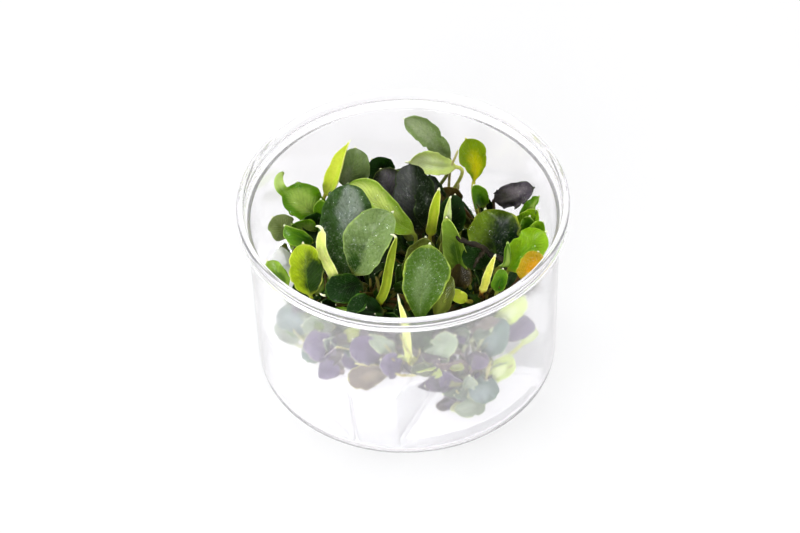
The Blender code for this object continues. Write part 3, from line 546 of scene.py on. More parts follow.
class GelSettings(PropertyGroup):
    depth: in_mm("Poured depth", 25.0, "Height of the gel's top above the table")
    detail: in_mm("Detail", 0.8, "Size of the faces of the gel's skin")
    unevenness: in_mm("Unevenness", 0.16, "Height of the gel's ripples")
    colour: FloatVectorProperty(name="Colour", subtype="COLOR", default=(0.99, 0.995, 1.0),
                                description="Tint of the gel")


class PlantSettings(PropertyGroup):
    reach: in_mm("Reach", 44.9, "Inner radius that the plantlets are drawn for")
    clearance: in_mm("Clearance", 0.35, "Room between the plantlets and the wall")
    stem_radius: in_mm("Stem radius", 1.6, "Radius of a creeping stem at its old end")
    stalk_width: in_mm("Stalk width", 1.2, "Width of a leaf's stalk")
    stalk_thickness: in_mm("Stalk thickness", 1.1, "Thickness of a leaf's stalk")
    blade_thickness: in_mm("Blade thickness", 0.42, "Thickness of a blade beside its midrib")
    rows: IntProperty(name="Rows", default=52, description="Rows of faces along a blade")


class StageSettings(PropertyGroup):
    world: FloatProperty(name="Surroundings", default=1.0,
                         description="Strength of the white room's light")
    dim: FloatProperty(name="Dim side", default=0.30, subtype="FACTOR",
                       description="How much dimmer the front of the room is in reflections")
    key: FloatProperty(name="Key light", default=5.0, description="Power of the light overhead")
    fill: FloatProperty(name="Fill light", default=6.0, description="Power of the light in front")
    floor_white: FloatProperty(name="Floor white", default=0.68, subtype="FACTOR",
                               description="How much of the floor's look is plain white")


def settings(part):
    """The values that a user would change: those of the cup, gel, plants or stage."""
    return getattr(bpy.context.scene, "buce_" + part)


# Meshes

def unit(vector):
    """A vector of length one, for one vector or for rows of them."""
    vector = np.asarray(vector, float)
    return vector / np.linalg.norm(vector, axis=-1, keepdims=True)


def across(vector, line):
    """The part of a vector that lies square to a line of length one."""
    return vector - np.sum(vector * line, axis=-1, keepdims=True) * line


def turned(vector, axis, angle):
    """A vector turned about an axis of length one."""
    return (vector * math.cos(angle) + np.cross(axis, vector) * math.sin(angle)
            + axis * np.dot(axis, vector) * (1 - math.cos(angle)))


def smooth(low, high, value):
    """Rises from 0 at low to 1 at high along the cubic 3t^2 - 2t^3."""
    t = np.clip((value - low) / (high - low), 0, 1)
    return t * t * (3 - 2 * t)


def swell(points, size, seed):
    """Smooth unevenness from -1 to 1: the mean of eight sine waves through space, each along
    its own direction, about one size long."""
    rng = np.random.default_rng(seed)
    ways = unit(rng.normal(size=(8, 3))) * (2 * math.pi / size) * rng.uniform(0.6, 1.5, (8, 1))
    return np.sin(points @ ways.T + rng.uniform(0, 2 * math.pi, 8)).mean(axis=-1) * 1.6


def curve_between(start, end, leave, arrive, t):
    """Points and directions of the cubic that leaves and arrives along two given vectors."""
    t = np.asarray(t, float)[:, None]
    points = ((2 * t**3 - 3 * t**2 + 1) * start + (t**3 - 2 * t**2 + t) * leave
              + (3 * t**2 - 2 * t**3) * end + (t**3 - t**2) * arrive)
    slopes = ((6 * t**2 - 6 * t) * start + (3 * t**2 - 4 * t + 1) * leave
              + (6 * t - 6 * t**2) * end + (3 * t**2 - 2 * t) * arrive)
    return points, unit(slopes)


def loft(rings):
    """Skin of a grid of points whose rows are closed rings: two triangles for each cell, and a
    fan from the middle of the first ring and of the last, so that it is closed.

    The rings turn so that the faces point out when each ring, seen from the last one, runs
    against the clock."""
    rows, columns, _ = rings.shape
    corner = (np.arange(rows - 1) * columns)[:, None]
    here = np.arange(columns)[None, :]
    after = (here + 1) % columns
    a, b = corner + here, corner + after
    c, d = b + columns, a + columns
    sides = np.stack([a, b, c, a, c, d], axis=-1).reshape(-1, 3)
    ring = np.arange(columns)
    turn = (ring + 1) % columns
    count = rows * columns
    first = np.stack([np.full(columns, count), turn, ring], axis=-1)
    last = np.stack([np.full(columns, count + 1), ring + count - columns,
                     turn + count - columns], axis=-1)
    points = np.vstack([rings.reshape(-1, 3), rings[0].mean(axis=0), rings[-1].mean(axis=0)])
    return points, np.vstack([sides, first, last])


class Skin:
    """Collects lofted shapes, and for each point three vectors that the leaf material reads:
    its marks (place across, place along, upper side or underside), its tone and its patch."""

    def __init__(self):
        self.points, self.faces, self.marks, self.tones, self.patches = [], [], [], [], []
        self.count = 0

    def add(self, rings, marks=None, tone=(0.5, 0.5, 0.5), patch=(0.0, 0.4, 0.5)):
        points, faces = loft(rings)
        if marks is None:
            marks = np.zeros(rings.shape)
        ends = [marks[0].mean(axis=0), marks[-1].mean(axis=0)]
        self.points.append(points)
        self.faces.append(faces + self.count)
        self.marks.append(np.vstack([marks.reshape(-1, 3), *ends]))
        self.tones.append(np.tile(np.array(tone, float), (len(points), 1)))
        self.patches.append(np.tile(np.array(patch, float), (len(points), 1)))
        self.count += len(points)

    def make(self, name, material):
        points, faces = np.vstack(self.points), np.vstack(self.faces)
        mesh = new_mesh(name, points, faces)
        for title, values in (("leaf", self.marks), ("tone", self.tones),
                              ("patch", self.patches)):
            layer = mesh.attributes.new(title, "FLOAT_VECTOR", "POINT")
            layer.data.foreach_set("vector", np.vstack(values).astype(np.float32).ravel())
        return new_object(name, mesh, material)


def new_mesh(name, points, faces):
    """A smooth mesh of triangles."""
    mesh = bpy.data.meshes.new(name)
    mesh.vertices.add(len(points))
    mesh.vertices.foreach_set("co", points.astype(np.float32).ravel())
    mesh.loops.add(faces.size)
    mesh.loops.foreach_set("vertex_index", faces.astype(np.int32).ravel())
    mesh.polygons.add(len(faces))
    mesh.polygons.foreach_set("loop_start", np.arange(0, faces.size, 3, dtype=np.int32))
    mesh.update(calc_edges=True)
    mesh.shade_smooth()
    return mesh


def vertex_rows(mesh, key):
    """The places or the normals of a mesh's vertices, as rows of three."""
    values = np.empty(len(mesh.vertices) * 3)
    mesh.vertices.foreach_get(key, values)
    return values.reshape(-1, 3)


def new_object(name, mesh, material):
    made = bpy.data.objects.new(name, mesh)
    bpy.context.scene.collection.objects.link(made)
    mesh.materials.append(material)
    return made


def tube(middle, radius, sides):
    """Rings round a middle line: circles square to it, each of its own radius.  They don't
    twist, because each starts on the side that faces one fixed direction."""
    way = unit(np.gradient(middle, axis=0))
    side = unit(across(np.broadcast_to(TUBE_SIDE, way.shape), way))
    over = np.cross(way, side)
    angle = np.linspace(0, 2 * math.pi, sides, endpoint=False)
    radius = np.broadcast_to(np.asarray(radius, float), (len(middle),))
    return (middle[:, None, :] + radius[:, None, None]
            * (np.cos(angle)[None, :, None] * side[:, None, :]
               + np.sin(angle)[None, :, None] * over[:, None, :]))


def roughened(rings, middle, uneven):
    """Rings moved out from their middle line, each point by its own share of its distance."""
    return rings + (rings - middle[:, None, :]) * uneven[:, :, None]


def rounded(profile, radius, steps):
    """A section with its corners rounded: each inner corner becomes a parabola between two
    points a radius away from it, or less where its sides are short."""
    profile = np.array(profile, float)
    before, corner, after = profile[:-2], profile[1:-1], profile[2:]
    back = np.linalg.norm(before - corner, axis=1)
    on = np.linalg.norm(after - corner, axis=1)
    cut = np.minimum(radius, 0.45 * np.minimum(back, on))
    start = corner + (before - corner) * (cut / back)[:, None]
    end = corner + (after - corner) * (cut / on)[:, None]
    t = np.linspace(0, 1, steps)[None, :, None]
    bends = ((1 - t) ** 2 * start[:, None] + 2 * t * (1 - t) * corner[:, None]
             + t ** 2 * end[:, None])
    return np.vstack([profile[:1], bends.reshape(-1, 2), profile[-1:]])


# The leaf

def blade_width(outline, s):
    """Share of the full width at s along the blade: a rise and a fall that meet at the widest."""
    rise, fall = OUTLINES[outline]
    widest = rise / (rise + fall)
    s = np.clip(s, 1e-4, 1 - 1e-4)
    return (s / widest) ** rise * ((1 - s) / (1 - widest)) ** fall


ACROSS = np.array([-1, -0.985, -0.95, -0.88, -0.79, -0.68, -0.57, -0.46, -0.36, -0.27, -0.19,
                   -0.12, -0.06, 0, 0.06, 0.12, 0.19, 0.27, 0.36, 0.46, 0.57, 0.68, 0.79, 0.88,
                   0.95, 0.985, 1])


def leaf_line(root, outward, base, tip, bends, point, rows, bend):
    """Middle line of a leaf from its stem to the end of its point, with the direction across
    the leaf and the direction up from it.

    It is that of the solid: it leaves the stem straight out, meets the blade's base and arches
    to the tip, and here it also sways along one sine wave.  Past the tip it is a point that
    curls down and aside at an even rate.  Also gives, for each place, how far it lies along
    the stalk (0 to 1), the blade (1 to 2) and the point (2 to 3)."""
    roll, _, arch, sweep, twist = bends
    reach, _, *curls = point
    curl, hook = [math.radians(angle) for angle in (*curls, 0)[:2]]
    line = unit(tip - base)
    upper = turned(unit(across(np.array(FACING), line)), line, math.radians(roll))
    side = np.cross(line, upper)
    bow = math.tan(math.radians(arch)) * upper + math.tan(math.radians(sweep)) * side
    first, last = unit(line + bow), unit(line - bow)
    length = np.linalg.norm(tip - base)
    pull = 0.9 * np.linalg.norm(base - root)
    u = np.concatenate([np.linspace(0, 1, stalk_rows(rows), endpoint=False),
                        1 + np.linspace(0, 1, rows) ** 0.92,
                        2 + np.linspace(0, 1, max(4, rows // 7) + 1)[1:]])
    s, past = np.clip(u - 1, 0, 1), np.clip(u - 2, 0, 1)
    lower, lower_way = curve_between(root, base, outward * pull, first * pull, np.clip(u, 0, 1))
    blade, blade_way = curve_between(base, tip, first * length, last * length, s)
    sway = bend * 0.030 * length * np.sin(2 * math.pi * s) * smooth(0, 0.25, s)
    blade = blade + sway[:, None] * side
    on_blade = (u > 1)[:, None]
    middle = np.where(on_blade, blade, lower)
    way = np.where(on_blade, blade_way, lower_way)
    sideways = unit(across(side, way))
    up = np.cross(sideways, way)
    spin = math.radians(twist) * s[:, None]
    sideways, up = (sideways * np.cos(spin) + up * np.sin(spin),
                    up * np.cos(spin) - sideways * np.sin(spin))
    down, aside = (curl * past)[:, None], (hook * past)[:, None]
    heading = (np.cos(down) * (np.cos(aside) * way + np.sin(aside) * sideways)
               - np.sin(down) * up)
    step = np.diff(past, prepend=0)[:, None] * reach * MM
    middle = middle + np.cumsum(heading * step, axis=0)
    sideways = np.cos(aside) * sideways - np.sin(aside) * way
    return u, middle, sideways, np.cross(sideways, heading)


def stalk_rows(rows):
    """Rows of faces along the stalk of a leaf that has so many along its blade."""
    return max(6, rows // 4)


def margins(v, along, phase):
    """How far each margin goes out and in, as shares of half the width: along three sines of
    its own, and in notches cut by sines without their sign."""
    def either(right, left):
        return np.where(v > 0, phase[right], phase[left])

    uneven = (0.048 * np.sin(8 * along + either(0, 1)) + 0.026 * np.sin(19 * along + either(2, 3))
              + 0.010 * np.sin(43 * along + either(1, 2)))
    torn = (0.085 * (1 - np.abs(np.sin(5.5 * along + either(3, 4)))) ** 3
            + 0.030 * np.abs(np.sin(17 * along + either(5, 0)))
            + 0.014 * np.abs(np.sin(41 * along + either(1, 2))))
    return uneven, torn


def leaf_rings(line, width, stalk, outline, cup, wave, point_width, chance, seed, columns,
               thickness, pleats, ragged):
    """Rings of points round a leaf, and for each point its place across and along the leaf.

    Each row across the middle line is an arc of a circle.  The two halves fold up by a small
    slope, a sine across the blade pleats it, and each margin goes in and out, and up and down,
    along sines of its own; a ragged margin also has notches.  Each ring goes across the upper
    side and back along the underside.  The two sides part by a thickness that falls to the
    margin as the root of 1 - v^6, is round along the stalk, and has a ridge along the midrib
    below and a groove above that follow a bell curve."""
    u, middle, sideways, up = line
    fold, lean, phase, turns = chance
    s, past = np.clip(u - 1, 0, 1), np.clip(u - 2, 0, 1)
    start = smooth(0.0, 0.12, s)
    floor = stalk * (1 - start) + point_width * start
    half = np.maximum(floor, width * blade_width(outline, s)) / 2
    half = np.where(u > 1, half, stalk / 2)
    half = np.where(u > 2, point_width / 2 * (1 - 0.7 * past ** 2), half)[:, None]
    arc = math.radians(abs(cup)) * np.minimum(1, s / 0.25) * (1 - past)
    arc = np.maximum(arc, 1e-3)[:, None]
    v = columns[None, :]
    along = s[:, None]
    free = smooth(0.04, 0.35, along) * (1 - past[:, None])
    uneven, torn = margins(v, along, phase)
    reach = half * (1 + (lean * np.sign(v) + uneven - (ragged - 1) * torn) * free)
    over = reach * np.sin(arc * v) / arc
    rise = math.copysign(1, cup) * reach * (1 - np.cos(arc * v)) / arc
    rise = rise + fold * free * reach * (np.sqrt(v ** 2 + 0.01) - 0.1)
    ripple = np.sin(7.0 * along + 1.6 * np.sign(v)) * along * wave * half * np.abs(v)
    slow = np.sin(2 * math.pi * turns * along + np.where(v > 0, phase[4], phase[5])) * v ** 2
    fine = np.sin(23.0 * along + 2.3 * np.sign(v) + seed) * np.abs(v) ** 3
    ripple = ripple + (slow * 0.12 + fine * (0.022 + 0.30 * wave)) * half * free
    folds, deep = pleats
    ripple = ripple + deep * half * free * np.sin(math.pi * folds * (v + 0.25 * v ** 2) + phase[3]
                                                  + 2.6 * along) * (0.6 + 0.4 * np.sin(5 * along))
    sheet = (middle[:, None, :] + over[:, :, None] * sideways[:, None, :]
             + (rise + ripple)[:, :, None] * up[:, None, :])
    tilt = arc * v * math.copysign(1, cup)
    normal = (up[:, None, :] * np.cos(tilt)[:, :, None]
              - sideways[:, None, :] * np.sin(tilt)[:, :, None])
    lumps = swell(sheet, 6 * MM, seed) * 0.040 * half * free
    sheet = sheet + normal * lumps[:, :, None]
    edge = (1 - np.abs(v) ** 6) ** 0.5
    round_edge = np.sqrt(np.clip(1 - v ** 2, 0, 1))
    blade_like = start[:, None] * (1 - smooth(0, 0.3, past)[:, None])
    thick = (blade_like * edge * thickness / 2
             + (1 - blade_like) * round_edge * np.minimum(half, stalk / 2 * 0.92))
    bell = np.exp(-(v * half / RIB_WIDTH) ** 2) * blade_like
    ridge = bell * RIB_HEIGHT * (1 - along) ** 0.8
    groove = bell * GROOVE_DEPTH * (1 - along) ** 0.5
    above = sheet + normal * (thick - groove)[:, :, None]
    below = sheet - normal * (thick + ridge)[:, :, None]
    shape = (len(u), len(columns))
    place = (np.where(u > 1, s, u - 1) + past)[:, None]
    mark = np.stack([np.broadcast_to(v, shape), np.broadcast_to(place, shape), np.ones(shape)],
                    axis=-1)
    under = mark[:, -2:0:-1] * np.array([1, 1, -1])
    return (np.concatenate([above, below[:, -2:0:-1]], axis=1),
            np.concatenate([mark, under], axis=1))


def plan_scale():
    """How much larger the plantlets are than they are drawn."""
    cup, plants = settings("cup"), settings("plants")
    return (cup.wall_radius - cup.wall - plants.clearance) / plants.reach


def ground(name):
    """Height of the gel under a plantlet."""
    return settings("gel").depth - CHUNK_DROPS[PLANTLETS[name][0]] * MM


def stem_line(name, at):
    """Points of a stem's middle line, bowed a little sideways, with its radius at each."""
    _, start, end, _ = PLANTLETS[name]
    at = np.atleast_1d(np.asarray(at, float))
    start = np.array(start, float) * MM * plan_scale()
    end = np.array(end, float) * MM * plan_scale()
    along = end - start
    bow = 0.10 * np.sin(math.pi * at)[:, None] * np.array([-along[1], along[0]])
    plan = start + at[:, None] * along + bow
    thick = settings("plants").stem_radius * plan_scale()
    radius = thick * (1 - 0.45 * at ** 3)
    height = np.full(len(at), ground(name) + SEAT_GAP + thick)
    return np.column_stack([plan, height]), radius


def leaf_root(name, at, base):
    """Where a stalk starts: out from the stem towards the blade, one gap off its skin."""
    plants = settings("plants")
    (before, centre, after), radius = stem_line(name, [at - 0.02, at, at + 0.02])
    axis = unit(after - before)
    outward = unit(across(base - centre, axis))
    outward = unit(across(outward + np.array([0, 0, 0.35]), axis))
    off = radius[1] + SEAT_GAP + plants.stalk_thickness * plan_scale() / 4
    return centre + outward * off, outward


def add_leaf(skin, name, row, point, rows, seed, columns=ACROSS, tone=(0.0, 0.5, 0.0),
             patch=(0.0, 0.4, 0.5), pleats=(2.0, 0.02), ragged=1.0):
    """Adds the leaf of one row of a plantlet's table to a skin."""
    at, base, tip, width, outline, *bends, wave = row
    scale = plan_scale()
    lift = np.array([0, 0, ground(name)])
    base = np.array(base, float) * MM * scale + lift
    tip = np.array(tip, float) * MM * scale + lift
    root, outward = leaf_root(name, at, base)
    rng = np.random.default_rng(seed)
    fold, lean, bend = rng.uniform(0.03, 0.22), rng.uniform(-0.10, 0.10), rng.uniform(-1, 1)
    chance = fold, lean, rng.uniform(0, 2 * math.pi, 6), rng.uniform(1.1, 2.0)
    line = leaf_line(root, outward, base, tip, bends, point, rows, bend)
    plants = settings("plants")
    rings, marks = leaf_rings(line, width * MM * scale, plants.stalk_width * scale, outline,
                              bends[1], wave, point[1] * MM, chance, seed, columns,
                              plants.blade_thickness * scale, pleats, ragged)
    skin.add(rings, marks, tone, patch)


# Materials

def feed(tree, node, inputs):
    """Sets or links inputs of a node, given as (name or number of the input, value or socket)."""
    for key, value in inputs:
        if isinstance(value, bpy.types.NodeSocket):
            tree.links.new(value, node.inputs[key])
        else:
            node.inputs[key].default_value = value


def put(tree, kind, inputs=(), **values):
    """Adds a node with the values and the inputs given."""
    made = tree.nodes.new(kind)
    for key, value in values.items():
        setattr(made, key, value)
    feed(tree, made, inputs)
    return made


def maths(tree, operation, *terms, clamp=False):
    """The result of a math node, kept between 0 and 1 where clamp is asked."""
    made = put(tree, "ShaderNodeMath", enumerate(terms), operation=operation, use_clamp=clamp)
    return made.outputs[0]


def times(tree, first, second):
    """The product of two values."""
    return maths(tree, "MULTIPLY", first, second)


def scaled(tree, value, gain, base):
    """A value times its gain, plus a base."""
    return maths(tree, "MULTIPLY_ADD", value, gain, base)


def rest(tree, share):
    """What a share leaves of 1."""
    return maths(tree, "SUBTRACT", 1.0, share)


def blend(tree, share, first, second, mode="MIX"):
    """The first colour, mixed with the second by a share."""
    made = put(tree, "ShaderNodeMix", [("Factor", share), (6, first), (7, second)],
               data_type="RGBA", blend_type=mode)
    return made.outputs[2]


def shaded(tree, colour, tint):
    """A colour multiplied by another, or by a brightness."""
    if isinstance(tint, bpy.types.NodeSocket):
        tint = put(tree, "ShaderNodeCombineColor", [(0, tint), (1, tint), (2, tint)]).outputs[0]
    return blend(tree, 1.0, colour, tint, "MULTIPLY")


def ramp(tree, value, low, high):
    """0 below low, 1 above high, and smooth between."""
    made = put(tree, "ShaderNodeMapRange", [("Value", value), ("From Min", low),
                                            ("From Max", high)],
               interpolation_type="SMOOTHSTEP")
    return made.outputs["Result"]


def noise(tree, where, scale, detail=2.0, roughness=0.5):
    """A smooth random value, from about 0 to 1, with scale waves to each unit of place."""
    made = put(tree, "ShaderNodeTexNoise", [("Vector", where), ("Scale", scale),
                                            ("Detail", detail), ("Roughness", roughness)])
    return made.outputs["Fac"]


def object_place(tree):
    """The place of a point in its object, in metres."""
    return put(tree, "ShaderNodeTexCoord").outputs["Object"]


def attribute(tree, name):
    """The three parts of a mesh attribute."""
    vector = put(tree, "ShaderNodeAttribute", attribute_name=name).outputs["Vector"]
    return put(tree, "ShaderNodeSeparateXYZ", [(0, vector)]).outputs


def bump(tree, strength, distance, height):
    """A normal tilted as if the surface stood up by height times distance."""
    return put(tree, "ShaderNodeBump", [("Strength", strength), ("Distance", distance),
                                        ("Height", height)]).outputs[0]


def show_mix(tree, share, first, second):
    """Lets a material show a mix of two shaders."""
    mix = put(tree, "ShaderNodeMixShader", [(0, share), (1, first.outputs[0]),
                                            (2, second.outputs[0])])
    feed(tree, tree.nodes["Material Output"], [("Surface", mix.outputs[0])])


def group(name, inputs, outputs):
    """A new node group with named sockets: its tree, its input node and its output node."""
    tree = bpy.data.node_groups.new(name, "ShaderNodeTree")
    for title, kind, value in inputs:
        socket = tree.interface.new_socket(name=title, in_out="INPUT", socket_type=kind)
        socket.default_value = value
    for title, kind in outputs:
        tree.interface.new_socket(name=title, in_out="OUTPUT", socket_type=kind)
    return tree, tree.nodes.new("NodeGroupInput"), tree.nodes.new("NodeGroupOutput")


def leaf_surface():
    """Group: a blade's colour round its own patch, out from it and along its margin, with its
    midrib, side veins, underside, stalk and tip, mottled and speckled; its roughness and the
    height of its veins and grain.  On some finishes the patch's middle colour is painted light or
    shade, and the pale speckles are partly painted sheen."""
    found = bpy.data.node_groups.get("Leaf surface")
    if found:
        return found
    colour, number = "NodeSocketColor", "NodeSocketFloat"
    grey = (0.5, 0.5, 0.5, 1)
    tree, take, give = group("Leaf surface", [
        ("Middle", colour, grey), ("Blade", colour, grey), ("Margin", colour, grey),
        ("Midrib", colour, grey), ("Underside", colour, grey), ("Stalk", colour, grey),
        ("Tip", colour, grey), ("Roughness", number, 0.4), ("Speckles", number, 0.2),
    ], [("Colour", colour), ("Roughness", number), ("Height", number)])
    v, s, face = attribute(tree, "leaf")
    age, brightness, paleness = attribute(tree, "tone")
    middle_v, middle_s, size = attribute(tree, "patch")
    own = take.outputs
    where = object_place(tree)
    cloud = noise(tree, where, 300.0, 4.0, 0.65)
    patch = noise(tree, where, 90.0, 2.0, 0.5)
    grain = noise(tree, where, 2600.0, 2.0, 0.6)
    off = maths(tree, "ABSOLUTE", v)
    wander = scaled(tree, cloud, 0.30, -0.15)
    near_tip = ramp(tree, s, 0.72, 1.0)
    out = maths(tree, "MAXIMUM", off, times(tree, near_tip, 0.95))
    # how far a place is from the middle of the patch, in sizes of the patch
    away_v = maths(tree, "SUBTRACT", v, middle_v)
    away_s = times(tree, maths(tree, "SUBTRACT", s, middle_s), 1.5)
    away = maths(tree, "SQRT", maths(tree, "ADD", times(tree, away_v, away_v),
                                     times(tree, away_s, away_s)))
    away = maths(tree, "DIVIDE", away, size)
    away = maths(tree, "ADD", away, scaled(tree, cloud, 0.8, -0.40))
    away = maths(tree, "ADD", away, scaled(tree, patch, 0.9, -0.45))
    to_blade = ramp(tree, away, 0.45, 1.20)
    to_margin = ramp(tree, scaled(tree, wander, 0.75, out), 0.88, 1.02)
    to_margin = times(tree, to_margin, ramp(tree, patch, 0.30, 0.52))
    # the patch's middle colour, which on some finishes is painted light or shade
    shade = blend(tree, to_blade, own["Middle"], own["Blade"])
    paler = maths(tree, "MAXIMUM", to_margin, paleness)
    shade = blend(tree, paler, shade, own["Margin"])
    # side veins: bands that leave the midrib slanting to the tip
    slant = scaled(tree, maths(tree, "POWER", off, 0.8), -0.42, s)
    slant = scaled(tree, patch, 0.16, slant)
    band = maths(tree, "SINE", times(tree, slant, 78.0))
    vein = maths(tree, "POWER", scaled(tree, band, 0.5, 0.5), 5.0)
    fade = times(tree, rest(tree, ramp(tree, off, 0.55, 0.95)), ramp(tree, s, 0.02, 0.12))
    vein = times(tree, vein, fade)
    rib = rest(tree, ramp(tree, off, 0.02, 0.09))
    rib = times(tree, rib, rest(tree, ramp(tree, s, 0.45, 1.0)))
    rib = times(tree, rib, ramp(tree, cloud, 0.30, 0.62))
    shade = blend(tree, times(tree, vein, 0.09), shade, own["Midrib"])
    shade = blend(tree, times(tree, rib, 0.42), shade, own["Midrib"])
    below = ramp(tree, face, 0.3, -0.3)
    under = blend(tree, times(tree, rib, 0.5), own["Underside"], own["Midrib"])
    shade = blend(tree, below, shade, under)
    # mottling in darker and lighter clouds, then the age and brightness of single leaves
    dark = scaled(tree, cloud, 1.1, 0.45)
    dark = times(tree, dark, scaled(tree, patch, 0.9, 0.55))
    shade = blend(tree, 0.5, shade, shaded(tree, shade, dark))
    shade = blend(tree, age, shade, shaded(tree, shade, (0.62, 0.50, 0.22, 1)))
    shade = shaded(tree, shade, maths(tree, "ADD", brightness, 0.5))
    stalked = ramp(tree, scaled(tree, off, -0.06, s), 0.10, -0.04)
    shade = blend(tree, stalked, shade, own["Stalk"])
    tipped = ramp(tree, s, 1.04, 1.35)
    shade = blend(tree, tipped, shade, own["Tip"])
    # flecks: pale ones all over, partly the leaf's own flecks and partly painted sheen, and dark
    # ones between them
    fleck = noise(tree, where, 1300.0, 4.0, 0.7)
    pale = times(tree, ramp(tree, fleck, 0.54, 0.70), ramp(tree, patch, 0.30, 0.60))
    fleck_and_sheen_colour = blend(tree, 0.48, shade, (0.50, 0.55, 0.42, 1))
    shade = blend(tree, times(tree, pale, own["Speckles"]), shade, fleck_and_sheen_colour)
    dull = times(tree, ramp(tree, fleck, 0.48, 0.34), own["Speckles"])
    shade = blend(tree, dull, shade, shaded(tree, shade, (0.45, 0.50, 0.42, 1)))
    spots = noise(tree, where, 900.0, 3.0, 0.7)
    rough = scaled(tree, spots, 0.22, own["Roughness"])
    rough = maths(tree, "SUBTRACT", rough, 0.10, clamp=True)
    height = times(tree, vein, -0.6)
    height = scaled(tree, cloud, 0.55, height)
    height = scaled(tree, grain, 0.22, height)
    height = scaled(tree, fleck, 0.20, height)
    feed(tree, give, [("Colour", shade), ("Roughness", rough), ("Height", height)])
    return tree


def new_material(name):
    material = bpy.data.materials.new(name)
    material.use_nodes = True
    tree = material.node_tree
    return material, tree, tree.nodes["Principled BSDF"]


def leaf_material(finish):
    """The material of one leaf finish."""
    name = "leaf " + finish
    found = bpy.data.materials.get(name)
    if found:
        return found
    *colours, rough, coat, _ = FINISHES[finish]
    colours.append(HOOKS.get(finish, PALE_HOOK))
    titles = ("Middle", "Blade", "Margin", "Midrib", "Underside", "Stalk", "Tip")
    material, tree, shader = new_material(name)
    surface = put(tree, "ShaderNodeGroup", node_tree=leaf_surface())
    feed(tree, surface, [(title, screen(colour)) for title, colour in zip(titles, colours)])
    feed(tree, surface, [("Speckles", SPECKLES.get(finish, USUAL_SPECKLES)),
                         ("Roughness", rough)])
    height = surface.outputs["Height"]
    feed(tree, shader, [
        ("Base Color", surface.outputs["Colour"]), ("Roughness", surface.outputs["Roughness"]),
        ("Normal", bump(tree, 0.65, 0.32 * MM, height)), ("Specular IOR Level", 0.09),
        ("Coat Weight", coat / 2), ("Coat Roughness", 0.20), ("Subsurface Weight", 0.15),
        ("Subsurface Radius", (0.5, 1.0, 0.15)), ("Subsurface Scale", 0.6 * MM)])
    return material


def stem_material():
    """Brown-green rind with darker leaf scars and a dull, uneven skin."""
    material, tree, shader = new_material("creeping stem")
    where = object_place(tree)
    cloud = noise(tree, where, 420.0, 4.0, 0.6)
    fine = noise(tree, where, 1800.0, 3.0, 0.6)
    shade = blend(tree, ramp(tree, cloud, 0.35, 0.65), screen((62, 52, 22)), screen((104, 96, 44)))
    shade = blend(tree, times(tree, ramp(tree, fine, 0.45, 0.7), 0.5), shade,
                  screen((36, 30, 14)))
    feed(tree, shader, [("Base Color", shade), ("Roughness", scaled(tree, cloud, 0.3, 0.3)),
                        ("Normal", bump(tree, 0.6, 0.2 * MM, fine))])
    return material


def strand_material(name, light, dark):
    """A bare stalk: two tones in long patches, dull, with a finely wrinkled skin."""
    material, tree, shader = new_material(name)
    where = object_place(tree)
    cloud = noise(tree, where, 240.0, 4.0, 0.6)
    fine = noise(tree, where, 1500.0, 3.0, 0.6)
    shade = blend(tree, ramp(tree, cloud, 0.38, 0.62), screen(dark), screen(light))
    feed(tree, shader, [("Base Color", shade), ("Roughness", scaled(tree, fine, 0.3, 0.3)),
                        ("Normal", bump(tree, 0.5, 0.15 * MM, fine)),
                        ("Specular IOR Level", 0.12)])
    return material


def root_material():
    """Pale, slightly clear root skin that browns in patches."""
    material, tree, shader = new_material("root")
    where = object_place(tree)
    cloud = noise(tree, where, 300.0, 3.0, 0.6)
    shade = blend(tree, ramp(tree, cloud, 0.40, 0.68), screen((206, 200, 158)),
                  screen((128, 96, 52)))
    fine = noise(tree, where, 4000.0)
    feed(tree, shader, [("Base Color", shade), ("Roughness", scaled(tree, cloud, 0.2, 0.35)),
                        ("Normal", bump(tree, 0.3, 0.05 * MM, fine))])
    return material


def clear_wear():
    """Group: the faint waves, scuffs and specks of clear moulded or cut surfaces."""
    found = bpy.data.node_groups.get("Clear wear")
    if found:
        return found
    number = "NodeSocketFloat"
    tree, take, give = group("Clear wear", [
        ("Wave size", number, 60.0), ("Roughness", number, 0.05), ("Scuffs", number, 0.08),
    ], [("Roughness", number), ("Height", number)])
    where = object_place(tree)
    own = take.outputs
    waves = noise(tree, where, own["Wave size"], 1.0)
    scuffs = noise(tree, where, 700.0, 4.0, 0.7)
    mask = ramp(tree, scuffs, 0.55, 0.80)
    feed(tree, give, [("Roughness", scaled(tree, mask, own["Scuffs"], own["Roughness"])),
                      ("Height", scaled(tree, scuffs, 0.004, waves))])
    return tree


def clear_material(name, colour, clarity, ior, rough, scuffs, wave_size, wave_height,
                   shadow=(0.985, 0.985, 0.99, 1), edge=None):
    """Clear plastic, gel or water: lets light through, and casts a thin shadow.  Where the
    attribute edge is 1, the colour is that of edge: a grey line of painted shade."""
    material, tree, shader = new_material(name)
    wear = put(tree, "ShaderNodeGroup", [("Wave size", wave_size), ("Roughness", rough),
                                         ("Scuffs", scuffs)], node_tree=clear_wear())
    tint = (*colour, 1)
    if edge:
        mask = put(tree, "ShaderNodeAttribute", attribute_name="edge").outputs["Fac"]
        tint = blend(tree, mask, tint, (*edge, 1))
    feed(tree, shader, [("Base Color", tint), ("Transmission Weight", clarity), ("IOR", ior),
                        ("Roughness", wear.outputs["Roughness"]),
                        ("Normal", bump(tree, 1.0, wave_height, wear.outputs["Height"]))])
    thin = put(tree, "ShaderNodeBsdfTransparent", [("Color", shadow)])
    light = put(tree, "ShaderNodeLightPath")
    show_mix(tree, light.outputs["Is Shadow Ray"], shader, thin)
    return material


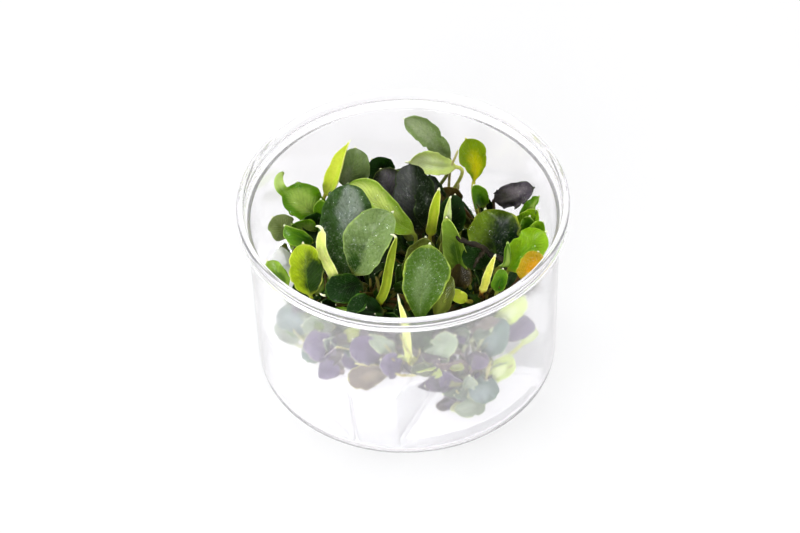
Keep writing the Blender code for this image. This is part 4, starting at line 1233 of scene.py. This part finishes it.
def floor_material(white):
    """Pale floor: a white glow mixed with a matt part that shows the shadows.  The share of the
    glow is one for the camera, and a greater one for the light that the floor throws up."""
    material, tree, shader = new_material("floor")
    feed(tree, shader, [("Base Color", (0.64, 0.64, 0.65, 1)), ("Roughness", 0.9),
                        ("Specular IOR Level", 0.1)])
    light = put(tree, "ShaderNodeLightPath")
    glow = put(tree, "ShaderNodeEmission", [("Color", (1, 1, 1, 1)), ("Strength", 1.0)])
    show_mix(tree, scaled(tree, light.outputs["Is Camera Ray"], white - FLOOR_GLOW, FLOOR_GLOW),
             shader, glow)
    return material


# Operators

def settle(piece, nodes=()):
    """Gives a piece its body and the solids that it stands for."""
    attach(piece, "root")
    if nodes:
        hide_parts(*nodes)


class BUCE_OT_cup(Operator):
    """Make the clear cup: its rounded half section turned once round"""

    bl_idname = "buce.cup"
    bl_label = "Cup"

    def execute(self, context):
        cup = settings("cup")
        top = cup.wall_radius + cup.flare
        rim = top + cup.shoulder
        collar = rim - cup.collar_inset
        lip_inside = rim - cup.lip_width
        shoulder = cup.rim_height - cup.collar_height
        inner = cup.corner - cup.wall
        corner = cup.wall_radius - cup.corner
        floor = cup.foot_depth + cup.wall
        bead, height = cup.bead, cup.rim_height
        turn = np.linspace(0, math.pi / 2, 14)
        inside = np.column_stack([corner + inner * np.sin(turn),
                                  floor + inner * (1 - np.cos(turn))])
        outside = np.column_stack([corner + cup.corner * np.cos(turn),
                                   cup.corner * (1 - np.sin(turn))])
        lip = [(top - cup.wall, shoulder - 1.2 * cup.wall),
               (lip_inside - 0.35 * cup.wall, shoulder + 0.1 * cup.wall),
               (lip_inside, shoulder + cup.wall), (lip_inside, height - bead),
               (lip_inside + bead, height), (rim - bead, height), (rim, height - bead),
               (rim, height - 2 * bead), (collar, height - 3 * bead),
               (collar, shoulder + 1.4 * bead), (rim, shoulder + 0.7 * bead),
               (rim, shoulder - 0.3 * bead), (rim - bead, shoulder - bead),
               (top + bead, shoulder - bead), (top, shoulder - 2 * bead)]
        foot = corner - cup.foot_width
        profile = np.vstack([[(0.4 * MM, floor)], inside, lip, outside,
                             [(foot, 0.0), (foot - cup.foot_depth, cup.foot_depth),
                              (0.4 * MM, cup.foot_depth)]])
        profile = rounded(profile, cup.rounding, 5)
        angle = np.linspace(0, 2 * math.pi, cup.steps, endpoint=False)
        rings = np.stack([profile[:, :1] * np.cos(angle), profile[:, :1] * np.sin(angle),
                          np.broadcast_to(profile[:, 1:], (len(profile), cup.steps))], axis=-1)
        # edge is the grey of a painted shade line along the lip's outer edge
        material = clear_material("clear plastic", cup.colour, cup.clarity, 1.49, 0.10, 0.02,
                                  70.0, 0.05 * MM, edge=(0.66, 0.65, 0.70))
        skin = Skin()
        skin.add(rings[:, ::-1])
        piece = skin.make("clear_cup", material)
        # the attribute edge is 1 along the lip's outer edge, where a grey line of painted shade
        # runs
        points = np.vstack(skin.points)
        out, up = np.hypot(points[:, 0], points[:, 1]), points[:, 2]
        edge = smooth(rim - 1.3 * bead, rim - 0.3 * bead, out) * smooth(height - 2 * bead,
                                                                       height - bead, up)
        layer = piece.data.attributes.new("edge", "FLOAT", "POINT")
        layer.data.foreach_set("value", edge.astype(np.float32))
        settle(piece, ["cup"])
        return {"FINISHED"}


class BUCE_OT_gel(Operator):
    """Make the gel: each chunk's solid, with soft edges and a faintly rippled skin"""

    bl_idname = "buce.gel"
    bl_label = "Gel"

    def execute(self, context):
        gel = settings("gel")
        clear, cloudy = [clear_material(name, gel.colour, clarity, 1.34, 0.03, 0.05, 220.0,
                                        0.06 * MM, (0.995, 0.995, 0.995, 1))
                         for name, clarity in GELS.items()]
        for number, node in enumerate([*CHUNK_DROPS, "gel_loose"]):
            material = cloudy if node == "gel_loose" else clear
            blank = bmesh.new()
            blank.from_mesh(bpy.data.objects[node].data)
            bmesh.ops.remove_doubles(blank, verts=blank.verts, dist=0.00001)
            mesh = bpy.data.meshes.new(node + "_chunk")
            blank.to_mesh(mesh)
            blank.free()
            piece = new_object(node + "_chunk", mesh, material)
            remesh = piece.modifiers.new("Skin", "REMESH")
            remesh.mode = "VOXEL"
            remesh.voxel_size = gel.detail
            ready = piece.evaluated_get(bpy.context.evaluated_depsgraph_get())
            fine = bpy.data.meshes.new_from_object(ready)
            piece.modifiers.clear()
            piece.data = fine
            points, normals = vertex_rows(fine, "co"), vertex_rows(fine, "normal")
            lift = (swell(points, 9 * MM, SEEDS["gel wave"] + number)
                    + 0.5 * swell(points, 3.5 * MM, SEEDS["gel ripple"] + number))
            points -= normals * ((1.2 + lift) * gel.unevenness / 2)[:, None]
            fine.vertices.foreach_set("co", points.astype(np.float32).ravel())
            if not fine.materials:
                fine.materials.append(material)
            fine.update()
            fine.shade_smooth()
            settle(piece, [node])
        return {"FINISHED"}


class BUCE_OT_stems(Operator):
    """Make the creeping stems: tapered tubes with rings where old leaves were"""

    bl_idname = "buce.stems"
    bl_label = "Stems"

    def execute(self, context):
        material = stem_material()
        for number, name in enumerate(PLANTLETS):
            at = np.linspace(0, 1, 60)
            middle, radius = stem_line(name, at)
            rings = 1 - 0.10 * np.cos(2 * math.pi * at * 7 + number) ** 8
            ends = np.sqrt(np.clip(1 - (2 * at - 1) ** 16, 0.02, 1))
            around = tube(middle, radius * rings * ends, 20)
            uneven = swell(around, 2.2 * MM, SEEDS["stem"] + number) * 0.08 - 0.06
            skin = Skin()
            skin.add(roughened(around, middle, uneven))
            piece = skin.make(name + "_creeping_stem", material)
            settle(piece, [name + "_stem"])
        return {"FINISHED"}


class BUCE_OT_leaves(Operator):
    """Make the leaves of the table, each in the place of its solid"""

    bl_idname = "buce.leaves"
    bl_label = "Leaves"

    def execute(self, context):
        for name, number in TABLE_LEAVES:
            finish = LOOKS[name][number - 1][0]
            piece = table_leaf(name, number).make(f"{name}_blade_{number}",
                                                  leaf_material(finish))
            settle(piece, [f"{name}_leaf_{number}"])
        return {"FINISHED"}


def table_leaf(name, number):
    """The skin of one leaf of the tables."""
    skin = Skin()
    add_leaf(skin, name, PLANTLETS[name][3][number - 1], LOOKS[name][number - 1][1:],
             settings("plants").rows, 1 + TABLE_LEAVES.index((name, number)),
             **DETAILS.get((name, number), {}))
    return skin


def young_rows(name, count, bearing, spread, share, seed):
    """Rows for young leaves: each stands at its own place along the stem and leans out at its
    own angle, by amounts drawn at random, and stays clear of the wall and of the gel."""
    chunk, start, end, _ = PLANTLETS[name]
    rng = np.random.default_rng(seed)
    start, end = np.array(start, float), np.array(end, float)
    tall = TALL if chunk == "gel_right_front" else 0
    rows = []
    while len(rows) < count:
        at = rng.uniform(0, 1)
        way = math.radians(bearing + rng.uniform(-spread, spread))
        turn = way + rng.uniform(-0.9, 0.9)
        low = rng.uniform(0, 1) < share
        reach, height = rng.uniform(1.5, 12), rng.uniform(2.2, 5 if low else 9)
        size = rng.uniform(6, 12) if low else rng.uniform(5, 10)
        lift = rng.uniform(-0.2, 0.45) if low else rng.uniform(0, 1.2)
        height = max(height, 3 - size * math.sin(lift)) + rng.uniform(0, 1) * tall
        foot = start + at * (end - start)
        base = foot + reach * np.array([math.cos(way), math.sin(way)])
        tip = base + size * math.cos(lift) * np.array([math.cos(turn), math.sin(turn)])
        width = size * rng.uniform(0.42, 0.75)
        bends = (rng.uniform(-60, 60), rng.uniform(15, 50), rng.uniform(5, 30),
                 rng.uniform(-12, 12), rng.uniform(-25, 25), rng.uniform(0.02, 0.2))
        outline = ("oval", "round", "oval", "lance")[rng.integers(4)]
        if max(np.hypot(*base), np.hypot(*tip)) < YOUNG_ROOM - width / 4:
            rows.append((at, (*base, height), (*tip, height + size * math.sin(lift)), width,
                         outline, *bends))
    return rows


class BUCE_OT_young(Operator):
    """Make the small and the young leaves that fill the plantlets"""

    bl_idname = "buce.young"
    bl_label = "Young leaves"

    def execute(self, context):
        rows = settings("plants").rows // 3
        for number, (name, finish, row, point) in enumerate(SMALL_LEAVES, 1):
            skin = Skin()
            add_leaf(skin, name, row, point, 2 * rows, SEEDS["small leaf"] + number,
                     patch=(0.2, 0.3 + 0.05 * (number % 8), 0.7), ragged=1.2 + 3 * row[-1])
            settle(skin.make(f"{name}_small_leaf_{number}", leaf_material(finish)))
        for number, (name, count, finish, bearing, spread, share) in enumerate(YOUNG_LEAVES):
            skin = Skin()
            rng = np.random.default_rng(SEEDS["young look"] + number)
            lying = share == 1.0
            for place, row in enumerate(young_rows(name, count, bearing, spread, share,
                                                   SEEDS["young row"] + number)):
                tone = (rng.uniform(0, 0.9) ** 2, rng.uniform(0.2, 0.8), rng.uniform(0, 0.8) ** 2)
                patch = (rng.uniform(-0.5, 0.5), rng.uniform(0.2, 0.8), rng.uniform(0.3, 0.8))
                add_leaf(skin, name, row, (0.15, 0.5, 0), 10 if lying else rows,
                         1000 * number + place, ACROSS[::4 if lying else 2], tone, patch)
            title = f"{name}_{'lying' if lying else 'young'}_{finish.replace(' ', '_')}_leaves"
            settle(skin.make(title, leaf_material(finish)))
        return {"FINISHED"}


def strand(start, end, radius, seed, wrinkle):
    """Rings of a bare strand: its middle line bows along a half sine sideways and wanders
    along two more, and it narrows by a third, with an uneven skin."""
    rng = np.random.default_rng(seed)
    line = end - start
    length = np.linalg.norm(line)
    side = unit(across(rng.normal(size=3), line / length))
    other = np.cross(line / length, side)
    t = np.linspace(0, 1, 40)[:, None]
    middle = (start + t * line + length * 0.09 * rng.uniform(-1, 1) * np.sin(math.pi * t) * side
              + length * 0.030 * np.sin(2 * math.pi * t + 1) * t * other
              + length * 0.012 * np.sin(5 * math.pi * t) * side * t)
    ends = np.sqrt(np.clip(1 - (2 * t[:, 0] - 1) ** 20, 0.02, 1))
    around = tube(middle, radius * (1 - 0.34 * t[:, 0]) * ends, 12)
    return roughened(around, middle, swell(around, max(1.6 * MM, 3 * radius), seed) * wrinkle)


def root_path(name, rng):
    """Middle line and radii of a root: it leaves the stem at random, sinks to the gel along a
    smooth step and creeps over it along a circle's arc, with one low bow above it."""
    scale = plan_scale()
    middle, _ = stem_line(name, rng.uniform(0, 1))
    way = rng.uniform(0, 2 * math.pi)
    length = rng.uniform(5, 12) * MM * scale
    t = np.linspace(0, 1, 30)
    turn = way + rng.uniform(-1.6, 1.6) * t
    plan = np.cumsum(np.column_stack([np.cos(turn), np.sin(turn)]), axis=0)
    plan = middle[0, :2] + plan * length / len(t)
    radius = rng.uniform(0.16, 0.28) * MM * scale
    low = ground(name) + radius + 0.05 * MM
    height = low + (middle[0, 2] - low) * (1 - smooth(0, 0.35, t))
    height = height + 1.2 * MM * np.sin(math.pi * t) * rng.uniform(0, 1)
    return np.column_stack([plan, height]), radius * (1 - 0.6 * t)


class BUCE_OT_strands(Operator):
    """Make the bare stalks, the dead stem and the roots of each plantlet"""

    bl_idname = "buce.strands"
    bl_label = "Stalks and roots"

    def execute(self, context):
        scale = plan_scale()
        lift = [0, 0, settings("gel").depth]
        for kind, (title, light, dark, uneven, slot) in STRAND_KINDS.items():
            material = strand_material(title, light, dark)
            for name in PLANTLETS:
                skin = Skin()
                for number, (owner, sort, *ends, radius) in enumerate(STRANDS):
                    if (owner, sort) == (name, kind):
                        ends = [np.array(place) * MM * [scale, scale, 1] + lift
                                for place in ends]
                        skin.add(strand(*ends, radius * MM * scale, SEEDS["strand"] + number,
                                        uneven))
                if skin.count:
                    settle(skin.make(f"{name}_{kind.replace(' ', '_')}s", material))
        material = root_material()
        for number, name in enumerate(PLANTLETS):
            rng = np.random.default_rng(SEEDS["roots"] + number)
            skin = Skin()
            for _ in range(ROOTS):
                path, radius = root_path(name, rng)
                if np.hypot(*path[:, :2].T).max() < ROOT_ROOM * MM * scale:
                    skin.add(tube(path, radius, 8))
            settle(skin.make(name + "_roots", material))
        return {"FINISHED"}


class BUCE_OT_drops(Operator):
    """Make the drops of water on the leaves: caps of flattened balls that lie on the blades"""

    bl_idname = "buce.drops"
    bl_label = "Drops"

    def execute(self, context):
        material = clear_material("water", (0.98, 0.99, 1.0), 1.0, 1.33, 0.02, 0.0, 300.0,
                                  0.01 * MM, (0.95, 0.96, 0.97, 1))
        rows = settings("plants").rows
        skin = Skin()
        for number, ((name, place), (count, low, high)) in enumerate(WET_LEAVES.items()):
            rng = np.random.default_rng(SEEDS["drops"] + number)
            leaf = table_leaf(name, place)
            grid = leaf.points[0][:-2].reshape(-1, 2 * len(ACROSS) - 2, 3)[:, :len(ACROSS)]
            for _ in range(count):
                row = int(stalk_rows(rows) + (rows - 3) * rng.uniform(low, high))
                column = int(rng.integers(3, len(ACROSS) - 4))
                here = grid[row, column]
                along = unit(grid[row + 1, column] - here)
                side = unit(grid[row, column + 1] - here)
                up = unit(np.cross(side, along))
                up = up if up @ np.array(FACING) > 0 else -up
                size = rng.uniform(0.5, 1.3) ** 1.3 * MM
                angle = np.linspace(0, 2 * math.pi, 14, endpoint=False)
                ring = (np.cos(angle)[:, None] * along
                        + np.sin(angle)[:, None] * np.cross(up, along))
                climb = np.radians(DROP_CLIMB)[:, None, None]
                skin.add(here + size * (np.cos(climb) * ring + DROP_HEIGHT * np.sin(climb) * up))
        settle(skin.make("water_drops", material))
        return {"FINISHED"}


class BUCE_OT_stage(Operator):
    """Make the white table and room, the soft lights and the camera"""

    bl_idname = "buce.stage"
    bl_label = "Stage"

    def execute(self, context):
        stage = settings("stage")
        scene = context.scene
        scene.view_settings.view_transform = "Standard"
        corners = np.array([(-1, -1), (1, -1), (1, 1), (-1, 1)]) * FLOOR_SIZE
        points = np.column_stack([corners, np.full(4, -FLOOR_GAP)])
        mesh = new_mesh("floor", points, np.array([(0, 1, 2), (0, 2, 3)]))
        floor = new_object("floor", mesh, floor_material(stage.floor_white))
        world = bpy.data.worlds.new("white room")
        world.use_nodes = True
        tree = world.node_tree
        back = tree.nodes["Background"]
        back.inputs["Color"].default_value = (1, 1, 1, 1)
        light = put(tree, "ShaderNodeLightPath")
        seen = maths(tree, "ADD", light.outputs["Is Camera Ray"], light.outputs["Is Glossy Ray"])
        seen = maths(tree, "ADD", seen, light.outputs["Is Transmission Ray"], clamp=True)
        # what gloss and glass show of the room is dimmer round one place, low and in front
        way = put(tree, "ShaderNodeTexCoord").outputs["Generated"]
        _, y, z = put(tree, "ShaderNodeSeparateXYZ", [(0, way)]).outputs
        near = scaled(tree, y, -0.78, times(tree, z, 0.62))
        room = scaled(tree, ramp(tree, near, 0.45, 0.95), -stage.dim, 1.0)
        strength = scaled(tree, seen, maths(tree, "SUBTRACT", room, stage.world),
                         stage.world)
        tree.links.new(strength, back.inputs["Strength"])
        scene.world = world
        for name, (place, width, height) in LAMPS.items():
            data = bpy.data.lights.new(name, "AREA")
            data.shape = "RECTANGLE"
            data.size, data.size_y, data.energy = width, height, getattr(stage, name)
            lamp = bpy.data.objects.new(name, data)
            scene.collection.objects.link(lamp)
            lamp.matrix_world = look_along(place, unit(np.array(LAMP_AIM) - np.array(place)))
        data = bpy.data.cameras.new("camera")
        data.sensor_width, data.lens = CAMERA_SENSOR, CAMERA_LENS
        data.clip_start, data.clip_end = 0.01, 50.0
        camera = bpy.data.objects.new("camera", data)
        scene.collection.objects.link(camera)
        camera.matrix_world = (Matrix.Translation(CAMERA_PLACE)
                               @ Matrix.Rotation(math.radians(CAMERA_TILT), 4, "X")
                               @ Matrix.Rotation(math.radians(CAMERA_ROLL), 4, "Z"))
        scene.camera = camera
        return {"FINISHED"}


def look_along(place, towards):
    """A placement at a point, with its own -Z along a direction."""
    back = -np.asarray(towards, float)
    right = unit(np.cross((0, 0, 1), back))
    top = np.cross(back, right)
    made = np.eye(4)
    made[:3, 0], made[:3, 1], made[:3, 2], made[:3, 3] = right, top, back, place
    return Matrix(made.tolist())


OPERATORS = (BUCE_OT_stage, BUCE_OT_cup, BUCE_OT_gel, BUCE_OT_stems, BUCE_OT_leaves,
             BUCE_OT_young, BUCE_OT_strands, BUCE_OT_drops)


class BUCE_PT_panel(Panel):
    """Lists the steps that make the cup of plantlets, and their sizes"""

    bl_idname = "BUCE_PT_panel"
    bl_label = "Bucephalandra"
    bl_space_type = "VIEW_3D"
    bl_region_type = "UI"
    bl_category = "Bucephalandra"

    def draw(self, context):
        layout = self.layout
        for operator in OPERATORS:
            layout.operator(operator.bl_idname)
        for part, kind in SETTINGS.items():
            box = layout.box()
            for name in kind.__annotations__:
                box.prop(settings(part), name)


SETTINGS = {"cup": CupSettings, "gel": GelSettings, "plants": PlantSettings,
            "stage": StageSettings}
CLASSES = (*SETTINGS.values(), *OPERATORS, BUCE_PT_panel)


def register():
    for made in CLASSES:
        bpy.utils.register_class(made)
    for part, kind in SETTINGS.items():
        setattr(bpy.types.Scene, "buce_" + part, PointerProperty(type=kind))


def unregister():
    for part in SETTINGS:
        delattr(bpy.types.Scene, "buce_" + part)
    for made in reversed(CLASSES):
        bpy.utils.unregister_class(made)


def main():
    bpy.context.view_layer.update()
    register()
    for operator in OPERATORS:
        step = operator.bl_idname.split(".")[1]
        getattr(bpy.ops.buce, step)()


if __name__ == "__main__":
    main()
